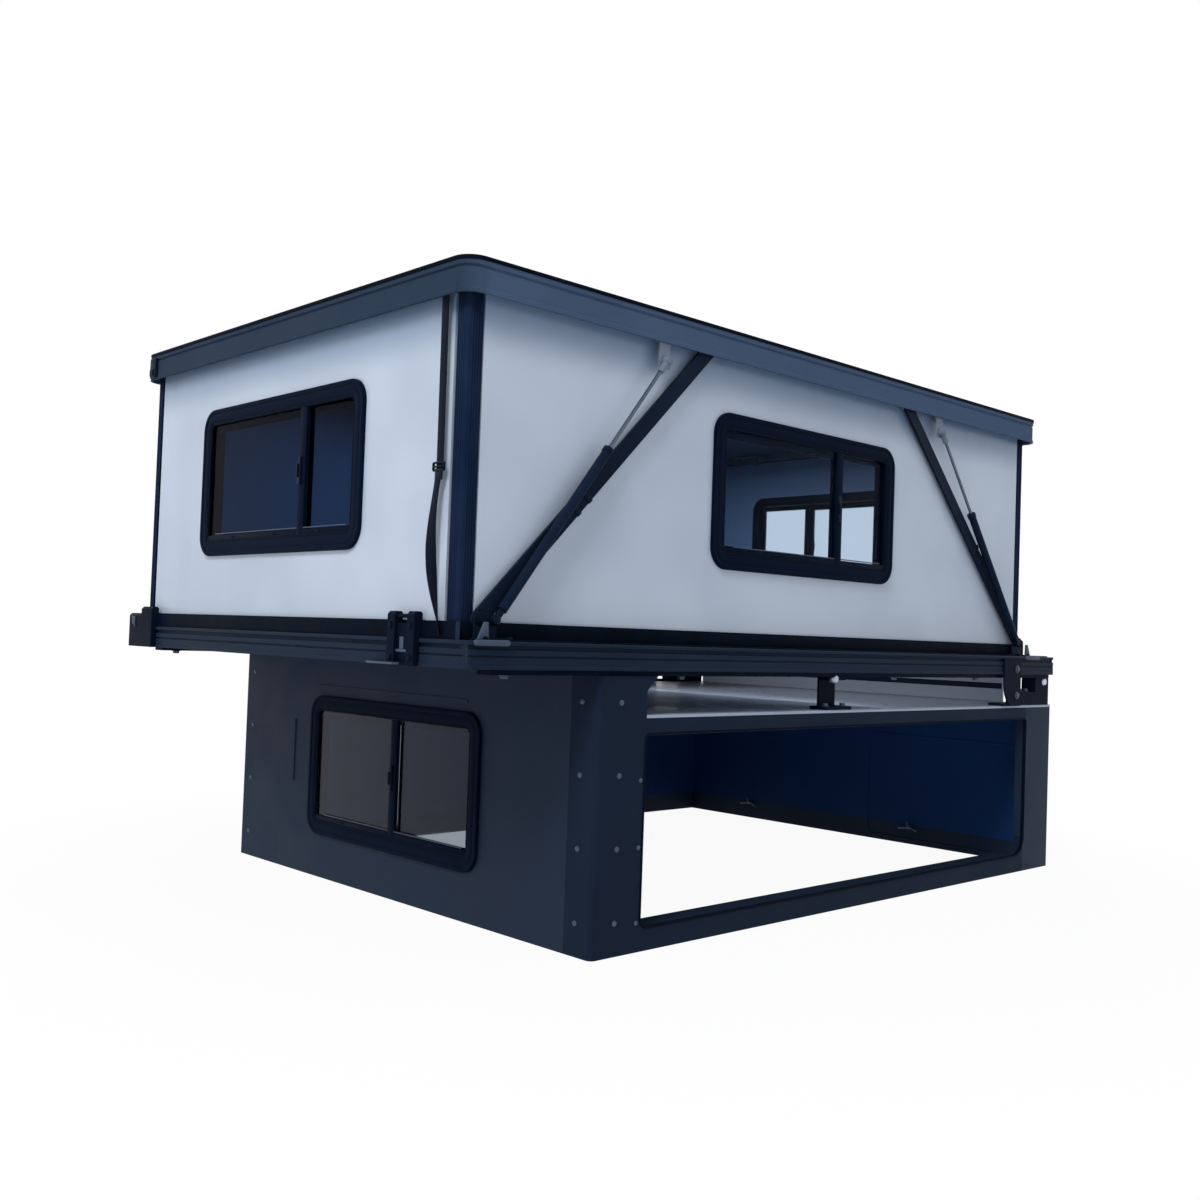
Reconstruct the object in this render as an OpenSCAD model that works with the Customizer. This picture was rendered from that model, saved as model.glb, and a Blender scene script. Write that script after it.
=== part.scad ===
// Pickup-bed canopy with a hard-walled pop-up roof tent on top of it.
// X runs along the vehicle with the cab end at -X, Y runs across it, Z is up.
// The near side is -Y. The origin is the bottom centre of the whole unit, on the bed rails.

/* [Overall] */
// Length over everything, from the front latch to the rear face
total_l = 2200; // [2000:10:2640]
// Width of the tray over its rails
tray_w = 1436; // [1340:2:1730]
// Height of the raised tent above the tray ledge
tent_h = 701; // [580:1:712]

/* [Canopy] */
// How far the tray reaches forward of the canopy
tray_overhang = 328; // [200:1:400]
// How far the tray stands out past each side of the canopy
side_step = 6; // [0:1:20]
// Height of the canopy roof
canopy_h = 476; // [420:1:580]
// Clear height between the canopy roof and the bearers of the tray
deck_gap = 79; // [60:1:120]
// Depth of the canopy frame and thickness of its walls
canopy_t = 30; // [20:1:40]
// Width of the front corner posts, seen from the side
post_front = 135; // [110:1:180]
// Width of the rear corner posts, seen from the side
post_rear = 155; // [110:1:200]
// Width of the corner posts, seen from the ends
post_end = 80; // [60:1:120]
// Radius of the vertical corners of the canopy
post_r = 14; // [5:1:20]
// How far the top of a front post flares to the rear
post_flare = 30; // [10:1:60]
// Height of the sill under the side opening
sill_h = 48; // [30:1:80]
// Depth of the sill
sill_t = 60; // [40:1:90]
// Height of the header over the side opening
header_h = 34; // [25:1:60]
// Radius of the lower rear corner of the side opening
opening_r = 50; // [20:1:80]
// Radius of the lower front corner of the side opening
opening_front_r = 20; // [10:1:80]
// Thickness of the canopy roof sheet
canopy_roof_t = 6; // [4:1:12]
// Distance from the front of the canopy to the middle brackets
mid_bracket_back = 800; // [600:5:1000]
// Distance from the rear face to the middle of the rear bracket plates
rear_plate_in = 256; // [230:1:300]

/* [Windows] */
// Width of a window over its flange
window_w = 700; // [500:10:800]
// Height of a window over its flange
window_h = 350; // [250:10:400]
// Corner radius of the flange
window_r = 50; // [30:1:70]
// Width of the flange that shows round the glass
window_flange = 34; // [26:1:45]
// How far the flange stands proud of the wall
window_proud = 6; // [3:1:8]
// Height of the middle of the tent windows above the middle of the walls
window_rise = 9.75; // [-20:0.25:20]
// Height of the foot of the canopy window above the bed rails
canopy_window_foot = 107; // [80:1:130]
// Offset of the front tent window from the middle, away from the near side
front_window_y = 20; // [-60:1:60]
// Distance of the meeting stile of a tent window from its middle
tent_stile = 115; // [-200:1:200]
// Distance of the meeting stile of the canopy window from its middle
canopy_stile = 25; // [-200:1:200]
// Thickness of a pane
glass_t = 4; // [3:0.5:6]

/* [Tray] */
// Height of the outer rail, from its bottom to the ledge
rail_h = 52; // [45:1:80]
// Width of the ledge beside the side walls
ledge_side = 52; // [50:1:80]
// Width of the ledge ahead of the front wall
ledge_front = 7; // [4:1:30]
// Width of the ledge behind the rear wall
ledge_rear = 95; // [40:1:140]
// Height of the curb round the foot of the tent walls
curb_h = 33; // [25:1:45]
// Thickness of the curb
curb_t = 3; // [2:1:5]
// Thickness of the tent floor
floor_t = 40; // [25:1:48]
// Height of the bearers under the side rails
bearer_h = 10; // [8:1:20]

/* [Tent] */
// Thickness of the folding walls
wall_t = 30; // [24:1:36]
// Width of the corner seals
seal_w = 34; // [30:1:40]
// Running clearance round everything that folds
clear = 5; // [5:1:8]

/* [Roof] */
// Overhang of the roof past the side walls
roof_side = 27; // [25:1:45]
// Overhang of the roof past the front wall
roof_front = 24; // [20:1:28]
// Overhang of the roof past the rear wall
roof_rear = 34; // [20:1:80]
// Height of the roof rim
rim_h = 68; // [55:1:90]
// Thickness of the roof rim
rim_t = 6; // [5:1:8]
// Corner radius of the roof in plan
roof_r = 40; // [25:1:80]
// Thickness of the roof panel
roof_t = 30; // [20:1:40]
// Height of the frame that the walls close against
roof_frame_h = 18; // [14:1:24]
// Inset of the groove below the top edge of the rim
rim_groove = 2; // [1:0.5:3]

/* [Lift gear] */
// Width of a lift arm
arm_w = 33; // [26:1:40]
// Thickness of a lift arm
arm_t = 7; // [5:1:8]
// Slope of a raised lift arm in degrees
arm_angle = 45; // [40:1:55]
// Distance from a wall end to the pivot of an arm
arm_inset = 38; // [30:1:60]
// Height of an arm pivot above the ledge
pivot_h = 38; // [30:1:50]
// Radius of the pivot pins
pin_r = 4; // [3:0.5:5]
// Radius of a gas strut cylinder
gas_r = 10; // [8:0.5:11]
// Radius of a gas strut rod
rod_r = 4; // [3:0.5:5]
// Length of a gas strut cylinder
gas_l = 440; // [380:5:460]
// Distance along the tray from an arm pivot to the foot of its strut
strut_step = 28; // [25:1:45]
// Distance along the tray from the foot of a strut to its top
strut_run = 433; // [400:1:460]
// Depth of the top ball of a strut below the roof frame
strut_drop = 56; // [45:1:90]

/* [Wall hinges] */
// Radius of a hinge barrel
barrel_r = 6; // [5:0.5:8]
// Radius of a hinge pin
hinge_pin_r = 2.5; // [2:0.5:4]
// Length of the moving barrel of a hinge
barrel_l = 50; // [40:1:70]

/* [Fittings] */
// How far the front latch stands out of the tray
latch_proud = 12; // [8:1:16]
// Distance from the near side of the tray to the middle of the front latch
latch_in = 197; // [150:1:300]
// Distance from the near wall to the middle of the strap, at the roof
strap_in = 57; // [50:1:120]
// Height of the strap buckle above the tray ledge
buckle_h = 318; // [200:1:400]
// Width of the hold-down strap
strap_w = 20; // [15:1:30]
// Thickness of the hold-down strap
strap_t = 1.6; // [1.2:0.1:2.5]

/* [Hidden] */
$fn = 64;
eps = 0.01;
seat = 0.3;

// Colours
c_shell = "#3c4048";
c_black = "#1c1e22";
c_white = "#dfe4e9";
c_grey = "#9a9ea3";
c_glass = "#4a5a66";

// Places along X and across Y
x_front = -total_l / 2;
x_rear = total_l / 2;
tray_front_x = x_front + latch_proud;
tray_l = total_l - latch_proud;
canopy_l = tray_l - tray_overhang;
canopy_front_x = x_rear - canopy_l;
canopy_w = tray_w - 2 * side_step;
curb_gap = clear + 1;
curb_out = curb_gap + curb_t;
tent_l = tray_l - ledge_front - ledge_rear - 2 * curb_out;
tent_w = tray_w - 2 * (ledge_side + curb_out);
tent_front_x = tray_front_x + ledge_front + curb_out;
tent_hw = tent_w / 2;
tent_hl = tent_l / 2;
tent_cx = tent_front_x + tent_hl;

// Heights
bearer_z = canopy_h + deck_gap;
tray_z = bearer_z + bearer_h;
ledge_z = tray_z + rail_h;
roof_z = ledge_z + tent_h;
curb_z = ledge_z + curb_h;
floor_drop = 10;
floor_z = curb_z - floor_drop;
floor_bottom = floor_z - floor_t;
skin_t = 3;
ceiling_z = roof_z - skin_t - roof_t;
frame_z = ceiling_z - roof_frame_h;
top_gap = clear + 1.5;
wall_top_z = frame_z - top_gap;
rim_z = roof_z - rim_h;
canopy_deck_z = canopy_h - canopy_roof_t;
window_z = (curb_z + wall_top_z) / 2 + window_rise;
canopy_window_z = canopy_window_foot + window_h / 2;

// Folding walls: each hinge axis lies in the inner face of its wall
trim_t = 2;
leaf_t = 3;
side_axis_z = floor_z + barrel_r + clear;
end_axis_z = wall_top_z - barrel_r + 1;
side_wall_l = tent_l - 2 * (max(seal_w, wall_t + leaf_t) + clear);
end_wall_w = tent_w - 2 * (wall_t + leaf_t + clear);
side_wall_bottom = floor_z + clear;
end_wall_bottom = floor_z + clear + 2;

// Window cut-out and sash, all from the flange size
sash_t = 14;
flange_lap = window_flange - sash_t;
stile_w = 24;
cut_w = window_w - 2 * flange_lap;
cut_h = window_h - 2 * flange_lap;
cut_r = window_r - flange_lap;
sight_w = window_w - 2 * window_flange;
sight_h = window_h - 2 * window_flange;
sight_r = window_r - window_flange;

// Lift gear, measured outwards from the middle of the tent
arm_y = tent_hw + curb_out + 1;
arm_zb = ledge_z + pivot_h;
track_t = 2.5;
arm_zt = ceiling_z - track_t - seat - arm_w / 2;
arm_run = (arm_zt - arm_zb) / tan(arm_angle);
arm_len = (arm_zt - arm_zb) / sin(arm_angle);
bracket_y = arm_y + arm_t + 1;
bracket_t = 4;
strut_y = bracket_y + bracket_t + 7;
strut_zt = frame_z - strut_drop;
strut_len = norm([strut_run, strut_zt - arm_zb]);
strut_angle = atan2(strut_zt - arm_zb, strut_run);
eye_r = 9;
eye_w = 12;

// Shapes shared by several pieces
module rounded(w, h, r) {
    square([w - 2 * r, h], center = true);
    square([w, h - 2 * r], center = true);
    for (x = [-1, 1], y = [-1, 1])
        translate([x * (w / 2 - r), y * (h / 2 - r)]) circle(r);
}

// Turns a drawing on the XY plane into one on an upright face that looks outwards.
// turn is 0 for the near side, 180 for the far side, -90 for the front and 90 for the rear.
module on_face(turn, distance) {
    rotate([90, 0, turn]) translate([0, 0, distance]) children();
}

// Places its child on a face of the tent box
module on_tent(turn) {
    translate([tent_cx, 0, 0])
        on_face(turn, abs(turn) == 90 ? tent_hl : tent_hw) children();
}

// Both sides of the tent, drawn for the near side
module each_side() {
    children();
    mirror([0, 1, 0]) children();
}

// Both ends of one side of the tent, drawn for the front end
module each_end() {
    children();
    translate([2 * tent_cx, 0, 0]) mirror([1, 0, 0]) children();
}

// Canopy
module corner_cut(r, h) {
    difference() {
        translate([-1, -1, -1]) cube([r + 1, r + 1, h + 2]);
        translate([r, r, -2]) cylinder(r = r, h = h + 4);
    }
}

module canopy_post_shape(side, height, flare) {
    difference() {
        union() {
            translate([0, canopy_t, 0]) rotate([90, 0, 0]) linear_extrude(canopy_t)
                polygon([[0, 0], [side, 0], [side, height - flare], [side + flare, height], [0, height]]);
            cube([canopy_t, post_end, height]);
        }
        corner_cut(post_r, height);
    }
}

module canopy_post(front, near) {
    color(c_shell)
        translate([front ? canopy_front_x : x_rear, near ? -canopy_w / 2 : canopy_w / 2, 0])
            mirror([front ? 0 : 1, 0, 0]) mirror([0, near ? 0 : 1, 0])
                if (front) canopy_post_shape(post_front, bearer_z, post_flare);
                else canopy_post_shape(post_rear, canopy_deck_z, 0);
}

opening_x0 = canopy_front_x + post_front;
opening_x1 = x_rear - post_rear;
opening_l = opening_x1 - opening_x0;

module canopy_near_sill() {
    color(c_shell) translate([opening_x0, -canopy_w / 2, 0]) {
        cube([opening_l, sill_t, sill_h]);
        translate([0, canopy_t, sill_h]) rotate([90, 0, 0]) linear_extrude(canopy_t)
            for (end = [0, 1]) {
                r = end == 0 ? opening_front_r : opening_r;
                translate([end * opening_l, 0]) mirror([end, 0]) difference() {
                    square(r);
                    translate([r, r]) circle(r);
                }
            }
    }
}

module canopy_near_header() {
    color(c_shell) translate([opening_x0, -canopy_w / 2, canopy_deck_z - header_h])
        difference() {
            cube([opening_l, canopy_t, header_h]);
            translate([-1, 3, -1]) cube([opening_l + 2, canopy_t - 6, header_h - 8]);
        }
}

module canopy_far_wall() {
    recess = 12;
    color(c_shell) translate([opening_x0, canopy_w / 2 - canopy_t, 0])
        difference() {
            cube([opening_l, canopy_t, canopy_deck_z]);
            translate([opening_l / 2, canopy_t + 1, (sill_h + canopy_deck_z - header_h) / 2])
                rotate([90, 0, 0])
                    linear_extrude(recess + 1)
                        rounded(opening_l - 2 * sill_h, canopy_deck_z - header_h - sill_h, opening_r);
        }
}

module canopy_front_wall() {
    seam = [2, window_w * 0.9, 8];
    bead_r = 3;
    bead_h = window_h * 0.46;
    bead_y = window_w / 2 + 85;
    color(c_shell) {
        difference() {
            translate([canopy_front_x, -canopy_w / 2 + post_end, 0])
                cube([canopy_t, canopy_w - 2 * post_end, floor_bottom]);
            translate([canopy_front_x - 1, 0, canopy_window_z]) rotate([90, 0, 90])
                linear_extrude(canopy_t + 2) rounded(cut_w, cut_h, cut_r);
        }
        translate([canopy_front_x - seam[0], front_window_y - seam[1] / 2, canopy_h])
            cube([seam[0] + eps, seam[1], seam[2]]);
        translate([canopy_front_x, bead_y, canopy_window_z - bead_h / 3])
            cylinder(r = bead_r, h = bead_h);
    }
}

module canopy_rear_wall() {
    groove = 5;
    door_w = canopy_w - 2 * post_end - 80;
    door_h = canopy_deck_z - 90;
    color(c_shell) difference() {
        translate([x_rear - canopy_t, -canopy_w / 2 + post_end, 0])
            cube([canopy_t, canopy_w - 2 * post_end, canopy_deck_z]);
        translate([x_rear - groove, 0, canopy_deck_z / 2]) rotate([90, 0, 90])
            linear_extrude(groove + 1) difference() {
                rounded(door_w, door_h, opening_r);
                rounded(door_w - 2 * groove, door_h - 2 * groove, opening_r - groove);
            }
    }
}

module canopy_roof() {
    color(c_shell) translate([0, 0, canopy_deck_z]) linear_extrude(canopy_roof_t)
        difference() {
            translate([canopy_front_x + canopy_t, -canopy_w / 2])
                square([canopy_l - canopy_t, canopy_w]);
            for (side = [-1, 1]) {
                translate([canopy_front_x + post_front / 2, side * (canopy_w - canopy_t) / 2])
                    square([post_front, canopy_t + 2 * eps], center = true);
                translate([x_rear, side * canopy_w / 2]) mirror([1, 0]) mirror([0, side > 0 ? 1 : 0])
                    difference() {
                        translate([-1, -1]) square(post_r + 1);
                        translate([post_r, post_r]) circle(post_r);
                    }
            }
        }
}

// Closing plate between the canopy roof and the rear rail; it stops short of the near rear bracket
module rear_riser() {
    riser_t = 8;
    set_in = 6;
    near_in = 158;
    far_in = 54;
    color(c_shell) translate([x_rear - set_in - riser_t, -tray_w / 2 + near_in, canopy_h])
        cube([riser_t, tray_w - near_in - far_in, tray_z - canopy_h]);
}

// Windows: drawn flat with the outer face of the wall at z = 0 and the outside at +z
module window_frame_flat(t, stile) {
    inner_w = window_w - 10;
    inner_h = window_h - 10;
    bar_lap = 1;
    bar_back = 3.5;
    bar_front = 2.5;
    difference() {
        union() {
            linear_extrude(window_proud) rounded(window_w, window_h, window_r);
            translate([0, 0, -t - trim_t]) linear_extrude(t + trim_t + eps) rounded(cut_w, cut_h, cut_r);
            translate([0, 0, -t - trim_t]) linear_extrude(trim_t)
                rounded(inner_w, inner_h, window_r - (window_w - inner_w) / 2);
        }
        translate([0, 0, -t - trim_t - 1]) linear_extrude(t + trim_t + window_proud + 2)
            rounded(sight_w, sight_h, sight_r);
    }
    translate([stile - stile_w / 2, -sight_h / 2 - bar_lap, -2 * glass_t - bar_back])
        cube([stile_w, sight_h + 2 * bar_lap, 2 * glass_t + bar_back + bar_front]);
}

module window_glass_flat(stile) {
    left_w = sight_w / 2 + stile - stile_w / 2 - 2 * seat;
    right_w = sight_w / 2 - stile - stile_w / 2 - 2 * seat;
    pane_h = sight_h - 2 * seat;
    translate([-sight_w / 2 + seat + left_w / 2, 0, -glass_t])
        linear_extrude(glass_t) pane_outline(left_w, pane_h, sight_r - seat, -1);
    translate([sight_w / 2 - seat - right_w / 2, 0, -2 * glass_t])
        linear_extrude(glass_t) pane_outline(right_w, pane_h, sight_r - seat, 1);
}

// A pane with its two corners on one side rounded to the sash
module pane_outline(w, h, r, side) {
    translate([-side * r / 2, 0]) square([w - r, h], center = true);
    square([w, h - 2 * r], center = true);
    for (y = [-1, 1]) translate([side * (w / 2 - r), y * (h / 2 - r)]) circle(r);
}

module canopy_window_frame() {
    color(c_black) translate([0, 0, canopy_window_z])
        on_face(-90, -canopy_front_x) window_frame_flat(canopy_t, canopy_stile);
}

module canopy_window_glass() {
    color(c_glass) translate([0, 0, canopy_window_z])
        on_face(-90, -canopy_front_x) window_glass_flat(canopy_stile);
}

// Brackets between the canopy roof and the tray
mid_bracket_x = canopy_front_x + mid_bracket_back;
mid_bracket_l = 105;
rear_plate_l = 92;
rear_plate_x = x_rear - rear_plate_in;
rear_block_l = 169;
bracket_out = tray_w / 2;
side_plate_t = 5;

module mount_bracket_mid() {
    foot = 8;
    web = 5;
    depth = 46;
    y0 = -bracket_out + 14;
    translate([mid_bracket_x - mid_bracket_l / 2, y0, canopy_h]) {
        cube([mid_bracket_l, depth, foot]);
        translate([20, depth - web - 6, 0]) cube([mid_bracket_l - 40, web, bearer_z - canopy_h]);
        translate([20, 4, bearer_z - canopy_h - foot]) cube([mid_bracket_l - 40, depth - 10, foot]);
    }
}

module mount_bracket_rear() {
    base_h = 38;
    foot = 8;
    depth = 44;
    block_l = 78;
    plate_h = ledge_z - 8 - canopy_h;
    cheek = 0.45;
    translate([rear_plate_x - rear_plate_l / 2, -bracket_out - side_plate_t, 0]) {
        translate([0, side_plate_t, canopy_h]) rotate([90, 0, 0]) linear_extrude(side_plate_t)
            polygon([
                [0, plate_h], [0, plate_h * cheek], [rear_plate_l * 0.08, plate_h * 0.25],
                [rear_plate_l * 0.24, plate_h * 0.08], [rear_plate_l * cheek, 0], [rear_plate_l, 0],
                [rear_plate_l, plate_h]
            ]);
        translate([0, side_plate_t - eps, canopy_h]) cube([rear_plate_l, depth, foot]);
        translate([0, side_plate_t - eps, tray_z - foot]) cube([rear_plate_l, 8, foot]);
    }
    translate([x_rear - 19 - rear_block_l, -bracket_out + 8, canopy_h]) {
        cube([rear_block_l, depth, base_h]);
        translate([rear_block_l - block_l, 0, base_h - eps])
            cube([block_l, depth, bearer_z - canopy_h - base_h + eps]);
    }
}

module mount_brackets() {
    color(c_black) each_side() {
        mount_bracket_mid();
        mount_bracket_rear();
    }
}

// Tray: a grooved rail all round, in four runs mitred at the corners
tray_cx = (x_rear + tray_front_x) / 2;
tray_r = 10;
floor_l = tent_l + 2 * curb_gap;
floor_w = tent_w + 2 * curb_gap;

// Section of a rail, with its outer face at x = 0 and the tent towards +x
module rail_section(ledge_w) {
    lip = 6;
    groove_d = 7;
    groove_h = 7;
    line_d = 3;
    line_z = rail_h * 0.42;
    inner = ledge_w + curb_t;
    foot_w = 20;
    polygon([
        [0, 0], [0, lip - 1], [2, lip + 1], [2, line_z], [2 + line_d, line_z + 1], [2 + line_d, line_z + 3],
        [2, line_z + 4], [2, rail_h - lip - 3 - groove_h], [groove_d, rail_h - lip - 2 - groove_h],
        [groove_d, rail_h - lip - 2], [0, rail_h - lip - 1], [0, rail_h - 2], [2, rail_h],
        [ledge_w, rail_h], [ledge_w, rail_h + curb_h], [inner, rail_h + curb_h],
        [inner, floor_bottom - tray_z], [inner + foot_w, floor_bottom - tray_z], [inner + foot_w, 0]
    ]);
}

// A rail run drawn along +X with its outer face at y = 0, trimmed to the tray's outline
module tray_run(turn, ledge_w) {
    across = abs(turn) == 90;
    reach = (across ? tray_w : tray_l) + 2;
    intersection() {
        translate([tray_cx, 0, tray_z])
            rotate([0, 0, turn]) translate([-reach / 2, across ? -tray_l / 2 : -tray_w / 2, 0])
                rotate([90, 0, 90]) linear_extrude(reach) rail_section(ledge_w);
        translate([tray_cx, 0, tray_z - 1]) linear_extrude(rail_h + curb_h + 2)
            rounded(tray_l, tray_w, tray_r);
    }
}

// Plan outline of the near or front run; its mitres join the tray corners to the floor corners
module run_outline(near) {
    tray_corner = [tray_front_x, -tray_w / 2];
    floor_corner = [tent_cx - floor_l / 2, -floor_w / 2];
    rear_tray_corner = [x_rear, -tray_w / 2];
    rear_floor_corner = [tent_cx + floor_l / 2, -floor_w / 2];
    front_out = tray_corner - 2 * (floor_corner - tray_corner);
    front_in = tray_corner + 4 * (floor_corner - tray_corner);
    rear_out = rear_tray_corner - (rear_floor_corner - rear_tray_corner);
    rear_in = rear_tray_corner + 2 * (rear_floor_corner - rear_tray_corner);
    translate([0, 0, tray_z - 2]) linear_extrude(rail_h + curb_h + 4)
        if (near) polygon([front_out, rear_out, rear_in, front_in]);
        else polygon([front_out, front_in, [front_in[0], -front_in[1]], [front_out[0], -front_out[1]]]);
}

module tray_rail_near() {
    color(c_black) intersection() {
        tray_run(0, ledge_side);
        run_outline(true);
    }
}

module tray_rail_far() {
    mirror([0, 1, 0]) tray_rail_near();
}

module tray_rail_front() {
    color(c_black) intersection() {
        tray_run(-90, ledge_front);
        run_outline(false);
    }
}

module tray_rail_rear() {
    color(c_black) difference() {
        tray_run(90, ledge_rear);
        run_outline(true);
        mirror([0, 1, 0]) run_outline(true);
    }
}

module tray_floor() {
    color(c_grey) translate([tent_cx, 0, floor_bottom + floor_t / 2])
        cube([floor_l, floor_w, floor_t], center = true);
}

module tray_bearers() {
    bearer_w = 40;
    color(c_black) each_side()
        translate([tray_front_x + 60, -tray_w / 2 + 12, bearer_z])
            cube([tray_l - 70, bearer_w, bearer_h]);
}

// Tent
module corner_seals() {
    seal_r = 10;
    color(c_black) each_side() each_end()
        translate([tent_front_x, -tent_hw, floor_z]) difference() {
            cube([seal_w, wall_t, frame_z - floor_z]);
            corner_cut(seal_r, frame_z - floor_z);
        }
}

// Outline of a wall panel with its window cut through, standing on y0
module wall_outline(w, y0, y1, shift) {
    difference() {
        translate([-w / 2, y0]) square([w, y1 - y0]);
        translate([shift, window_z]) rounded(cut_w, cut_h, cut_r);
    }
}

// Hinges are drawn with their axis along X, in the inner face of the wall; the wall stands towards +Y
lug_l = 25;
lug_gap = 1;
lug_at = barrel_l / 2 + lug_gap + lug_l / 2;

// Moving half: the middle barrel and its leaf on the wall
module hinge_moving() {
    leaf_h = 40;
    difference() {
        union() {
            rotate([0, 90, 0]) cylinder(r = barrel_r, h = barrel_l, center = true);
            translate([-barrel_l / 2, 0, -leaf_t]) cube([barrel_l, leaf_h, leaf_t + eps]);
        }
        rotate([0, 90, 0]) cylinder(r = hinge_pin_r + seat, h = barrel_l + 2, center = true);
    }
}

// What the wall is cut back by: room for the lugs, and the bore of the middle barrel
module hinge_room() {
    room_r = barrel_r + 1.5;
    rotate([0, 90, 0]) cylinder(r = hinge_pin_r + seat, h = barrel_l + 2, center = true);
    for (end = [-1, 1]) translate([end * lug_at, 0, 0]) {
        rotate([0, 90, 0]) cylinder(r = room_r, h = lug_l + 2 * lug_gap, center = true);
        translate([-lug_l / 2 - lug_gap, -4 * barrel_r, -room_r])
            cube([lug_l + 2 * lug_gap, 4 * barrel_r, 2 * room_r]);
    }
}

// Fixed half: pin, two lugs and the plate that carries them, on a face that lies reach below the axis
module hinge_fixed(reach) {
    foot_w = 10;
    plate_w = 30;
    plate_t = 3;
    rotate([0, 90, 0]) cylinder(r = hinge_pin_r, h = 2 * lug_at + lug_l, center = true);
    for (end = [-1, 1]) translate([end * lug_at, 0, 0]) {
        rotate([0, 90, 0]) cylinder(r = barrel_r, h = lug_l, center = true);
        translate([-lug_l / 2, -reach, -foot_w]) cube([lug_l, reach - clear, foot_w]);
    }
    translate([-lug_at - lug_l / 2, -reach, -plate_w]) cube([2 * lug_at + lug_l, plate_t, plate_w]);
}

side_hinges = [-3, -1, 1, 3];
end_hinges = [-1, 0, 1];
side_hinge_step = side_wall_l / 8;
end_hinge_step = 380;

module side_hinge_places() {
    for (i = side_hinges) translate([i * side_hinge_step, side_axis_z, -wall_t]) children();
}

module end_hinge_places() {
    for (i = end_hinges) translate([i * end_hinge_step, end_axis_z, -wall_t]) mirror([0, 1, 0]) children();
}

module wall_hinges() {
    color(c_grey) {
        for (turn = [0, 180]) on_tent(turn) side_hinge_places() hinge_fixed(side_axis_z - floor_z);
        for (turn = [-90, 90]) on_tent(turn) end_hinge_places() hinge_fixed(ceiling_z - end_axis_z);
    }
}

module side_wall(turn) {
    color(c_white) on_tent(turn) {
        difference() {
            translate([0, 0, -wall_t]) linear_extrude(wall_t)
                wall_outline(side_wall_l, side_wall_bottom, wall_top_z, 0);
            side_hinge_places() hinge_room();
        }
        side_hinge_places() hinge_moving();
    }
}

module end_wall(turn, shift) {
    color(c_white) on_tent(turn) {
        difference() {
            translate([0, 0, -wall_t]) linear_extrude(wall_t)
                wall_outline(end_wall_w, end_wall_bottom, wall_top_z, shift);
            end_hinge_places() hinge_room();
        }
        end_hinge_places() hinge_moving();
    }
}

module tent_window_frame(turn, shift) {
    color(c_black) on_tent(turn) translate([shift, window_z, 0]) window_frame_flat(wall_t, tent_stile);
}

module tent_window_glass(turn, shift) {
    color(c_glass) on_tent(turn) translate([shift, window_z, 0]) window_glass_flat(tent_stile);
}

// Roof
roof_l = tent_l + roof_front + roof_rear;
roof_w = tent_w + 2 * roof_side;
roof_cx = tent_cx + (roof_rear - roof_front) / 2;

// Section of the rim, with its outer face at x = 0 and the tent towards -x
module rim_section() {
    drip = 7;
    recess = 1.5;
    line_z = rim_h - 22;
    top_r = rim_t / 2;
    polygon([
        [-rim_t, 0], [0, 0], [0, drip], [-recess, drip + 2], [-recess, line_z - 1],
        [-recess - rim_groove, line_z], [-recess - rim_groove, line_z + 3], [0, line_z + 5],
        [0, rim_h - top_r], [-rim_t, rim_h - top_r]
    ]);
    translate([-top_r, rim_h - top_r]) circle(top_r);
}

module roof_rim() {
    straight = [roof_l - 2 * roof_r, roof_w - 2 * roof_r];
    color(c_shell) translate([roof_cx, 0, rim_z]) {
        for (turn = [0, 90, 180, 270]) {
            run = turn % 180 == 0 ? straight[1] : straight[0];
            out = turn % 180 == 0 ? roof_l / 2 : roof_w / 2;
            rotate([0, 0, turn]) translate([out, run / 2, 0]) rotate([90, 0, 0])
                linear_extrude(run) rim_section();
        }
        for (x = [-1, 1], y = [-1, 1])
            translate([x * straight[0] / 2, y * straight[1] / 2, 0])
                rotate([0, 0, x > 0 ? (y > 0 ? 0 : 270) : (y > 0 ? 90 : 180)])
                    rotate_extrude(angle = 90) translate([roof_r, 0]) rim_section();
    }
}

module roof_panel() {
    step = 30;
    color(c_shell) translate([roof_cx, 0, ceiling_z]) {
        linear_extrude(roof_t) rounded(roof_l - 2 * rim_t, roof_w - 2 * rim_t, roof_r - rim_t);
        linear_extrude(roof_t + skin_t) rounded(roof_l - 2 * step, roof_w - 2 * step, roof_r - 10);
    }
}

track_x0 = tent_front_x + 20;
track_l = tent_l - 40;
track_y0 = arm_y - 4;
track_y1 = arm_y + arm_t + 4;

module roof_frame() {
    color(c_grey) {
        difference() {
            translate([tent_cx, 0, frame_z + roof_frame_h / 2])
                cube([tent_l, tent_w, roof_frame_h], center = true);
            translate([tent_cx, 0, frame_z + roof_frame_h / 2])
                cube([tent_l - 2 * wall_t, tent_w - 2 * wall_t, roof_frame_h + 2], center = true);
        }
        each_side() translate([track_x0, -track_y1, frame_z]) difference() {
            cube([track_l, track_y1 - tent_hw + eps, roof_frame_h]);
            translate([-1, track_t, -1])
                cube([track_l + 2, track_y1 - track_y0 - track_t, roof_frame_h - track_t + 1]);
        }
    }
}

// Lift gear of one corner, drawn for the front end of the near side
arm_x0 = tent_front_x + arm_inset;
arm_x1 = arm_x0 + arm_run;

module lift_arm() {
    hole = pin_r + seat;
    translate([arm_x0, -arm_y, arm_zb]) rotate([90, 0, 0]) rotate([0, 0, arm_angle])
        linear_extrude(arm_t) difference() {
            union() {
                translate([0, -arm_w / 2]) square([arm_len, arm_w]);
                circle(arm_w / 2);
                translate([arm_len, 0]) circle(arm_w / 2);
            }
            circle(hole);
            translate([arm_len, 0]) circle(hole);
        }
}

module lift_arms() {
    color(c_black) each_side() each_end() lift_arm();
}

strut_x0 = arm_x0 + strut_step;

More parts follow.
